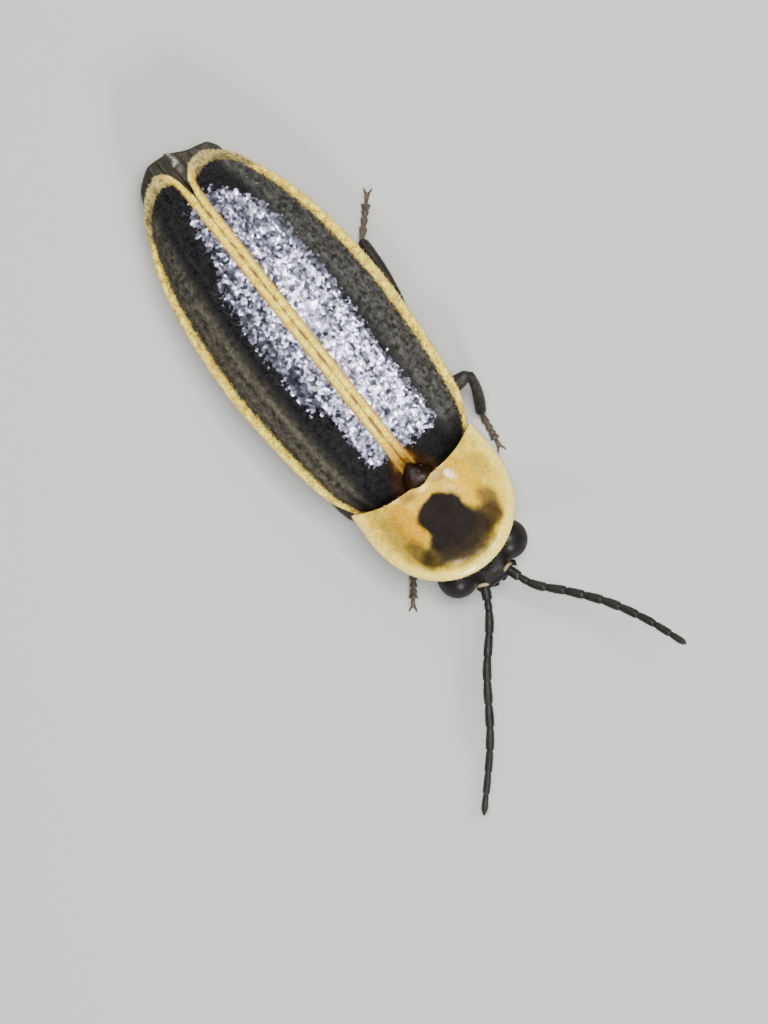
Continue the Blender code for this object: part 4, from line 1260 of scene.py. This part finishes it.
def antenna_line(label, side):
    """Return the feeler's middle line by distance, in millimetres, and its length."""
    points = [Vector((ANTENNA_SOCKET[0] * side, ANTENNA_SOCKET[1], ANTENNA_SOCKET[2]))]
    points += [Vector(point) for point in ANTENNA_ROUTES[label]]
    places = [0.0]
    for a, b in zip(points, points[1:]):
        places.append(places[-1] + (b - a).length)
    axes = [smooth_curve(*((place, point[axis]) for place, point in zip(places, points)))
            for axis in range(3)]
    return lambda distance: Vector([curve(distance) for curve in axes]), places[-1]


ANTENNA_PARTS = 11
FIRST_PARTS = (0.55, 0.28)
FIRST_GIRTHS = (1.12, 0.86)

# Parts of full girth, and how much thinner each part after them is
FULL_PARTS = 7
THINNING = 0.06

# Places of the stations along a part, and how much of its radius the feeler's end loses
PART_STEPS = (0.0, 0.03, 0.08, 0.18, 0.35, 0.55, 0.75, 0.88, 0.95, 0.99)
TIP_TAPER = 0.85

# The socket's ring: its place along the feeler, the place it faces, and its two radii
SOCKET_PLACE = 0.12
SOCKET_AIM = 0.3
SOCKET_RADIUS = 0.155 * MM
SOCKET_GIRTH = 0.05 * MM
FEELER_HAIRS_PER_MM = 230
joint_girth = smooth_curve((0.0, 0.76), (0.05, 0.84), (0.2, 0.94), (0.75, 1.04), (0.93, 1.0), (1.0, 0.8))


def make_antennae(sizes):
    """Feelers of eleven parts in pale sockets, and their down."""
    material = cuticle_material("feeler cuticle", (0.005, 0.0045, 0.004), (0.016, 0.015, 0.012), 0.46,
                                grains=22.0, depth=0.008, shine=0.25)
    socket_material = cuticle_material("socket membrane", (0.16, 0.12, 0.06), (0.40, 0.33, 0.20), 0.5)
    down = down_material("feeler down", (0.02, 0.019, 0.017), (0.09, 0.085, 0.075))
    draw = random.Random(61)
    for label, side in SIDES:
        point_at, length = antenna_line(label, side)
        others = ANTENNA_PARTS - len(FIRST_PARTS)
        lengths = [*FIRST_PARTS] + [(length - sum(FIRST_PARTS)) / others] * others
        stations, spans, start = [], [], 0.0
        for number, part in enumerate(lengths):
            girth = sizes.antenna_radius / MM * (1.0 - THINNING * max(0, number - FULL_PARTS + 1))
            girth *= FIRST_GIRTHS[number] if number < len(FIRST_GIRTHS) else 1.0
            for t in PART_STEPS:
                ending = number == ANTENNA_PARTS - 1 and t > 0.5
                taper = 1 - TIP_TAPER * ((t - 0.5) / 0.49) ** 3 if ending else 1.0
                stations.append((tuple(point_at(start + t * part)), girth * joint_girth(t) * taper))
            spans.append((start, part, girth))
            start += part
        obj = tube("feeler_" + label, stations, 6)
        finish_piece(obj, material, "antenna", "antenna_" + label)
        root = point_at(SOCKET_PLACE)
        heading = (point_at(SOCKET_AIM) - root).normalized()
        ring = add_primitive("feeler_socket_" + label, bpy.ops.mesh.primitive_torus_add,
                             major_radius=SOCKET_RADIUS, minor_radius=SOCKET_GIRTH, major_segments=32,
                             minor_segments=12, location=at(*root),
                             rotation=heading.to_track_quat("Z", "Y").to_euler())
        apply_transform()
        finish_piece(ring, socket_material, "antenna")
        roots = []
        for start, part, girth in spans:
            for _ in range(int(FEELER_HAIRS_PER_MM * part)):
                t = draw.uniform(0.06, 0.97)
                distance = start + t * part
                centre = point_at(distance)
                ahead = (point_at(min(distance + 0.02, length)) - centre).normalized()
                across = ahead.cross(Vector((0, 0, 1))).normalized()
                angle = draw.uniform(0, 2 * math.pi)
                normal = across * math.cos(angle) + ahead.cross(across) * math.sin(angle)
                place = centre + normal * girth * joint_girth(t)
                roots.append((at(*place), normal, ahead, FEELER_HAIR_LENGTH * draw.uniform(*HAIR_SHARES),
                              LIMB_HAIR_WIDTH, draw.uniform(0.3, 0.6),
                              (distance / length * 0.99, angle / 6.3 * 0.99)))
        hair_coat("feeler_down_" + label, roots, down, "antenna", 62)


# Legs

femur_girth = smooth_curve((0.0, 0.24), (0.08, 0.33), (0.2, 0.3), (0.27, 0.18), (0.34, 0.2), (0.55, 0.26),
                           (0.85, 0.22), (0.96, 0.17), (1.0, 0.08))
tibia_girth = smooth_curve((0.0, 0.06), (0.05, 0.12), (0.2, 0.135), (0.8, 0.165), (0.95, 0.16), (1.0, 0.1))

# Each foot part's share of the foot's length and its fullness, and a part's radius by place along it
TARSOMERES = ((0.30, 1.0), (0.19, 1.0), (0.15, 1.0), (0.14, 1.25), (0.22, 0.62))
TARSOMERE_GIRTHS = ((-0.05, 0.035), (0.03, 0.06), (0.3, 0.078), (0.7, 0.105), (0.92, 0.108), (1.03, 0.06))

# Heights of a foot's middle line: its level, reached at this share of its length, and the last
# part's level and arch
FOOT_LEVEL = 0.098
FOOT_LEVEL_FROM = 0.3
LAST_PART_LEVEL = 0.085
LAST_PART_ARCH = 0.05

# Hairs on a femur, a tibia and each part of a foot
FEMUR_HAIRS = 300
TIBIA_HAIRS = 420
FOOT_PART_HAIRS = 60

# Hairs of the feet with lower roots are left out
LOWEST_HAIR_ROOT = 0.03 * MM

# A claw's root: radius, height and distance from the foot's middle; then how far it turns outwards
# at its root, and by how much less with each step
CLAW_RADIUS = 0.034
CLAW_HEIGHT = 0.1
CLAW_OFFSET = 0.03
CLAW_SPLAY = 0.75
CLAW_CURL = 0.16

# Of each step of a claw: how far it goes ahead, how far it rises and what is left of its girth
CLAW_STEPS = ((0.045, 0.012, 0.9), (0.045, 0.0, 0.82), (0.04, -0.018, 0.72), (0.03, -0.028, 0.6),
              (0.02, -0.032, 0.35))


def limb_stations(start, end, girth, count, bow=(0, 0, 0), shares=(0.0, 1.0)):
    """Return stations of a limb from start to end with a girth curve and a slight bow."""
    stations = []
    for i in range(count + 1):
        t = i / count
        point = Vector(start).lerp(Vector(end), shares[0] + (shares[1] - shares[0]) * t)
        stations.append((tuple(point + Vector(bow) * math.sin(math.pi * t)), girth(t)))
    return stations


def foot_stations(ankle, toe):
    """Return the stations of the foot's five parts, the toe's heading and the foot's last place."""
    ankle, toe = Vector(ankle), Vector(toe)
    heading = Vector((toe.x - ankle.x, toe.y - ankle.y, 0.0))
    span = heading.length
    heading.normalize()
    groups, reached = [], 0.0
    for number, (share, fullness) in enumerate(TARSOMERES):
        stations = []
        for t, girth in TARSOMERE_GIRTHS:
            distance = reached + t * share
            point = ankle + heading * span * distance
            sink = max(0.0, 1 - distance / FOOT_LEVEL_FROM)
            point.z = FOOT_LEVEL + (ankle.z - 0.1) * sink * sink
            if number == len(TARSOMERES) - 1:
                point.z = LAST_PART_LEVEL + LAST_PART_ARCH * math.sin(math.pi * min(1.0, max(0.0, t)))
            stations.append((tuple(point), girth * fullness))
        groups.append(stations)
        reached += share
    return groups, heading, ankle + heading * span * reached


def make_claws(name, root, heading):
    """Make two hooked claws, each extruded from a small disc in narrowing steps."""
    parts = []
    for turn in (-1, 1):
        across = Vector((-heading.y, heading.x, 0.0)) * turn
        aim = (heading * 0.8 + across * 0.6).normalized()
        place = at(root.x, root.y, CLAW_HEIGHT) + across * CLAW_OFFSET * MM
        claw = add_primitive("claw", bpy.ops.mesh.primitive_circle_add, vertices=8, radius=CLAW_RADIUS * MM,
                             fill_type="NGON", location=place,
                             rotation=aim.to_track_quat("Z", "Y").to_euler())
        apply_transform()
        with whole_mesh_in_edit_mode(claw):
            for step, (ahead, rise, shrink) in enumerate(CLAW_STEPS):
                outward = across * ahead * (CLAW_SPLAY - CLAW_CURL * step)
                move = (heading * ahead + outward + Vector((0, 0, rise))) * MM
                bpy.ops.mesh.extrude_region_move(TRANSFORM_OT_translate={"value": tuple(move)})
                bpy.ops.transform.resize(value=(shrink, shrink, shrink))
        close_body(claw)
        parts.append(claw)
    return join_pieces(name, parts)


def make_legs():
    """Legs, feet of five parts and claws, and their down."""
    material = cuticle_material("leg cuticle", (0.006, 0.0048, 0.004), (0.022, 0.017, 0.012), 0.44,
                                grains=18.0, depth=0.01, shine=0.25)
    foot_material = cuticle_material("foot cuticle", (0.030, 0.021, 0.013), (0.10, 0.075, 0.048), 0.5,
                                     grains=20.0, depth=0.01)
    claw_material = cuticle_material("claw horn", (0.02, 0.010, 0.005), (0.09, 0.045, 0.018), 0.3)
    leg_down = down_material("leg down", (0.035, 0.03, 0.022), (0.15, 0.13, 0.10))
    foot_down = down_material("foot down", (0.12, 0.095, 0.06), (0.32, 0.27, 0.19))
    draw = random.Random(71)
    for leg, (hip, knee, ankle, toe) in LEG_JOINTS.items():
        inward = -0.22 if hip[0] > 0 else 0.22
        start = (hip[0] + inward, hip[1], hip[2] + 0.06)
        bow = (0.08 if knee[0] > 0 else -0.08, 0.0, 0.0)
        upper = limb_stations(start, knee, femur_girth, 30)
        lower = limb_stations(knee, ankle, tibia_girth, 24, bow)
        groups, heading, end = foot_stations(ankle, toe)
        obj = join_pieces("leg_skin_" + leg, [tube("femur", upper, 6), tube("tibia", lower, 5)])
        finish_piece(obj, material, "leg", "leg_%s_femur" % leg, "leg_%s_tibia" % leg)
        foot = join_pieces("foot_skin_" + leg, [tube("foot", stations, 4) for stations in groups])
        for vertex in foot.data.vertices:
            vertex.co.z = max(vertex.co.z, 0.0)
        finish_piece(foot, foot_material, "foot", "leg_%s_tarsus" % leg)
        finish_piece(make_claws("claws_" + leg, end, heading), claw_material, "foot")
        hairs = limb_hairs(upper, FEMUR_HAIRS, LEG_HAIR_LENGTH, draw)
        hairs += limb_hairs(lower, TIBIA_HAIRS, LEG_HAIR_LENGTH, draw)
        hair_coat("leg_down_" + leg, hairs, leg_down, "leg", 72)
        hairs = []
        for stations in groups:
            hairs += limb_hairs(stations, FOOT_PART_HAIRS, FOOT_HAIR_LENGTH, draw)
        hairs = [hair for hair in hairs if hair[0].z > LOWEST_HAIR_ROOT]
        hair_coat("foot_down_" + leg, hairs, foot_down, "foot", 73)


def limb_hairs(stations, count, length, draw):
    """Return hair roots spread round and along a limb's stations."""
    roots = []
    for _ in range(count):
        place = draw.uniform(0.06, 0.98) * (len(stations) - 1)
        i = min(int(place), len(stations) - 2)
        share = place - i
        (low, thin), (high, wide) = stations[i], stations[i + 1]
        centre = Vector(low).lerp(Vector(high), share)
        ahead = (Vector(high) - Vector(low)).normalized()
        across = ahead.cross(Vector((0, 0, 1))).normalized()
        angle = draw.uniform(0, 2 * math.pi)
        normal = across * math.cos(angle) + ahead.cross(across) * math.sin(angle)
        girth = thin + (wide - thin) * share
        roots.append((at(*(centre + normal * girth * 0.97)), normal, ahead,
                      length * draw.uniform(*HAIR_SHARES), LIMB_HAIR_WIDTH, draw.uniform(0.2, 0.5),
                      (place / len(stations) * 0.99, angle / 6.3 * 0.99)))
    return roots


# Stage

CAMERA_TILT = 2.5
CAMERA_DISTANCE = 100.0
IMAGE_CENTRE = (-1.287, -0.497, 3.0)
BODY_TURN = 38.3
FRAME_HEIGHT = 28.11
SENSOR_SIZE = 36.0
FLOOR_COLOUR = (0.42, 0.42, 0.41, 1)
WORLD_COLOUR = (0.86, 0.88, 0.92, 1)
WORLD_STRENGTH = 0.27

# The place that the lights face, in the insect's frame; then their names, places and sizes in
# metres, powers in watts and colours
LIGHTS_AIM = (0, 3, 2)
LIGHTS = (("key", (0.022, 0.004, 0.120), 0.05, 0.28, (1.0, 0.99, 0.97)),
          ("fill", (-0.032, -0.108, 0.09), 0.03, 0.2, (0.98, 0.99, 1.0)),
          ("rim", (0.05, 0.14, 0.08), 0.07, 0.09, (1.0, 1.0, 1.0)))


def make_stage():
    """Floor, lights, world and the camera at the photograph's angle."""
    floor = add_primitive("floor", bpy.ops.mesh.primitive_circle_add, vertices=128, radius=0.5,
                          fill_type="NGON")
    material, tree, shader = new_material("floor paint")
    set_inputs(shader, Base_Color=FLOOR_COLOUR, Roughness=0.7)
    floor.data.materials.append(material)

    world = bpy.data.worlds.new("studio")
    world.use_nodes = True
    set_inputs(world.node_tree.nodes["Background"], Color=WORLD_COLOUR, Strength=WORLD_STRENGTH)
    bpy.context.scene.world = world

    target = at(*IMAGE_CENTRE)
    tilt = Matrix.Rotation(math.radians(CAMERA_TILT), 4, "Y")
    turn = math.radians(BODY_TURN)
    right = Vector((math.cos(turn), -math.sin(turn), 0.0))
    up = Vector((math.sin(turn), math.cos(turn), 0.0))
    axes = Matrix((right, up, Vector((0, 0, 1)))).transposed().to_4x4()
    camera_data = bpy.data.cameras.new("camera")
    camera_data.sensor_fit = "VERTICAL"
    camera_data.sensor_height = SENSOR_SIZE
    camera_data.sensor_width = SENSOR_SIZE
    camera_data.lens = SENSOR_SIZE * CAMERA_DISTANCE / FRAME_HEIGHT
    camera_data.clip_start = 0.001
    camera_data.clip_end = 10.0
    camera = bpy.data.objects.new("camera", camera_data)
    bpy.context.scene.collection.objects.link(camera)
    back = tilt @ Vector((0, 0, 1))
    camera.matrix_world = Matrix.Translation(target + back * CAMERA_DISTANCE * MM) @ tilt @ axes
    bpy.context.scene.camera = camera

    for name, place, size, power, tint in LIGHTS:
        light_data = bpy.data.lights.new(name, "AREA")
        light_data.size = size
        light_data.energy = power
        light_data.color = tint
        light = bpy.data.objects.new(name, light_data)
        bpy.context.scene.collection.objects.link(light)
        aim = (at(*LIGHTS_AIM) - Vector(place)).to_track_quat("-Z", "Y")
        light.matrix_world = Matrix.Translation(Vector(place)) @ aim.to_matrix().to_4x4()


# Settings, operators and panel

class FireflySizes(bpy.types.PropertyGroup):
    """Sizes that a user may change."""
    wing_case_thickness: bpy.props.FloatProperty(
        name="Wing case thickness", description="Thickness of each wing case", default=0.00016,
        unit="LENGTH", precision=6)
    pronotum_thickness: bpy.props.FloatProperty(
        name="Pronotum thickness", description="Thickness of the pronotum's plate", default=0.0002,
        unit="LENGTH", precision=6)
    antenna_radius: bpy.props.FloatProperty(
        name="Feeler radius", description="Radius of a feeler's middle parts", default=0.000122,
        unit="LENGTH", precision=6)
    down_length: bpy.props.FloatProperty(
        name="Down length", description="Length of the hairs on the wing cases", default=0.00014,
        unit="LENGTH", precision=6)


class FireflyColours(bpy.types.PropertyGroup):
    """Colours that a user may change."""
    dark_cuticle: bpy.props.FloatVectorProperty(
        name="Dark cuticle", description="Ground colour of the wing cases", subtype="COLOR",
        default=(0.003, 0.003, 0.0035), min=0, max=1)
    pale_margin: bpy.props.FloatVectorProperty(
        name="Pale margin", description="Seam and outer margins of the wing cases", subtype="COLOR",
        default=(0.97, 0.79, 0.12), min=0, max=1)
    pronotum_cream: bpy.props.FloatVectorProperty(
        name="Pronotum cream", description="Translucent edge of the pronotum", subtype="COLOR",
        default=(0.95, 0.74, 0.16), min=0, max=1)
    lantern: bpy.props.FloatVectorProperty(
        name="Lantern", description="Light organ under the tail", subtype="COLOR",
        default=(0.76, 0.72, 0.36), min=0, max=1)


class FIREFLY_OT_wing_cases(bpy.types.Operator):
    """Add the two wing cases with their down"""
    bl_idname = "firefly.wing_cases"
    bl_label = "Wing cases"

    def execute(self, context):
        make_wing_cases(context.scene.firefly_sizes, context.scene.firefly_colours)
        make_wing_case_down(context.scene.firefly_sizes)
        return {"FINISHED"}


class FIREFLY_OT_pronotum(bpy.types.Operator):
    """Add the pronotum and the scutellum"""
    bl_idname = "firefly.pronotum"
    bl_label = "Pronotum and scutellum"

    def execute(self, context):
        make_pronotum(context.scene.firefly_sizes, context.scene.firefly_colours)
        make_scutellum()
        return {"FINISHED"}


class FIREFLY_OT_hind_wings(bpy.types.Operator):
    """Add the folded hind wings"""
    bl_idname = "firefly.hind_wings"
    bl_label = "Hind wings"

    def execute(self, context):
        make_hind_wings()
        return {"FINISHED"}


class FIREFLY_OT_trunk(bpy.types.Operator):
    """Add the skin of the thorax and abdomen"""
    bl_idname = "firefly.trunk"
    bl_label = "Trunk"

    def execute(self, context):
        make_trunk(context.scene.firefly_colours)
        return {"FINISHED"}


class FIREFLY_OT_head(bpy.types.Operator):
    """Add the head with its mouthparts, and the eyes"""
    bl_idname = "firefly.head"
    bl_label = "Head and eyes"

    def execute(self, context):
        make_head()
        make_eyes()
        return {"FINISHED"}


class FIREFLY_OT_antennae(bpy.types.Operator):
    """Add the two feelers"""
    bl_idname = "firefly.antennae"
    bl_label = "Feelers"

    def execute(self, context):
        make_antennae(context.scene.firefly_sizes)
        return {"FINISHED"}


class FIREFLY_OT_legs(bpy.types.Operator):
    """Add the six legs with their feet and claws"""
    bl_idname = "firefly.legs"
    bl_label = "Legs"

    def execute(self, context):
        make_legs()
        return {"FINISHED"}


class FIREFLY_OT_stage(bpy.types.Operator):
    """Add the floor, the lights and the camera"""
    bl_idname = "firefly.stage"
    bl_label = "Stage"

    def execute(self, context):
        make_stage()
        return {"FINISHED"}


OPERATORS = (FIREFLY_OT_stage, FIREFLY_OT_wing_cases, FIREFLY_OT_pronotum, FIREFLY_OT_hind_wings,
             FIREFLY_OT_trunk, FIREFLY_OT_head, FIREFLY_OT_antennae, FIREFLY_OT_legs)


class FIREFLY_PT_panel(bpy.types.Panel):
    """Lists the firefly's pieces and settings"""
    bl_idname = "FIREFLY_PT_panel"
    bl_label = "Firefly"
    bl_space_type = "VIEW_3D"
    bl_region_type = "UI"
    bl_category = "Firefly"

    def draw(self, context):
        for settings in (context.scene.firefly_sizes, context.scene.firefly_colours):
            for name in settings.__annotations__:
                self.layout.prop(settings, name)
        for operator in OPERATORS:
            self.layout.operator(operator.bl_idname)


CLASSES = (FireflySizes, FireflyColours, *OPERATORS, FIREFLY_PT_panel)


def register():
    for cls in CLASSES:
        bpy.utils.register_class(cls)
    bpy.types.Scene.firefly_sizes = bpy.props.PointerProperty(type=FireflySizes)
    bpy.types.Scene.firefly_colours = bpy.props.PointerProperty(type=FireflyColours)


def unregister():
    del bpy.types.Scene.firefly_sizes
    del bpy.types.Scene.firefly_colours
    for cls in reversed(CLASSES):
        bpy.utils.unregister_class(cls)


def main():
    register()
    bpy.ops.firefly.stage()
    bpy.ops.firefly.wing_cases()
    bpy.ops.firefly.pronotum()
    bpy.ops.firefly.hind_wings()
    bpy.ops.firefly.trunk()
    bpy.ops.firefly.head()
    bpy.ops.firefly.antennae()
    bpy.ops.firefly.legs()


if __name__ == "__main__":
    main()
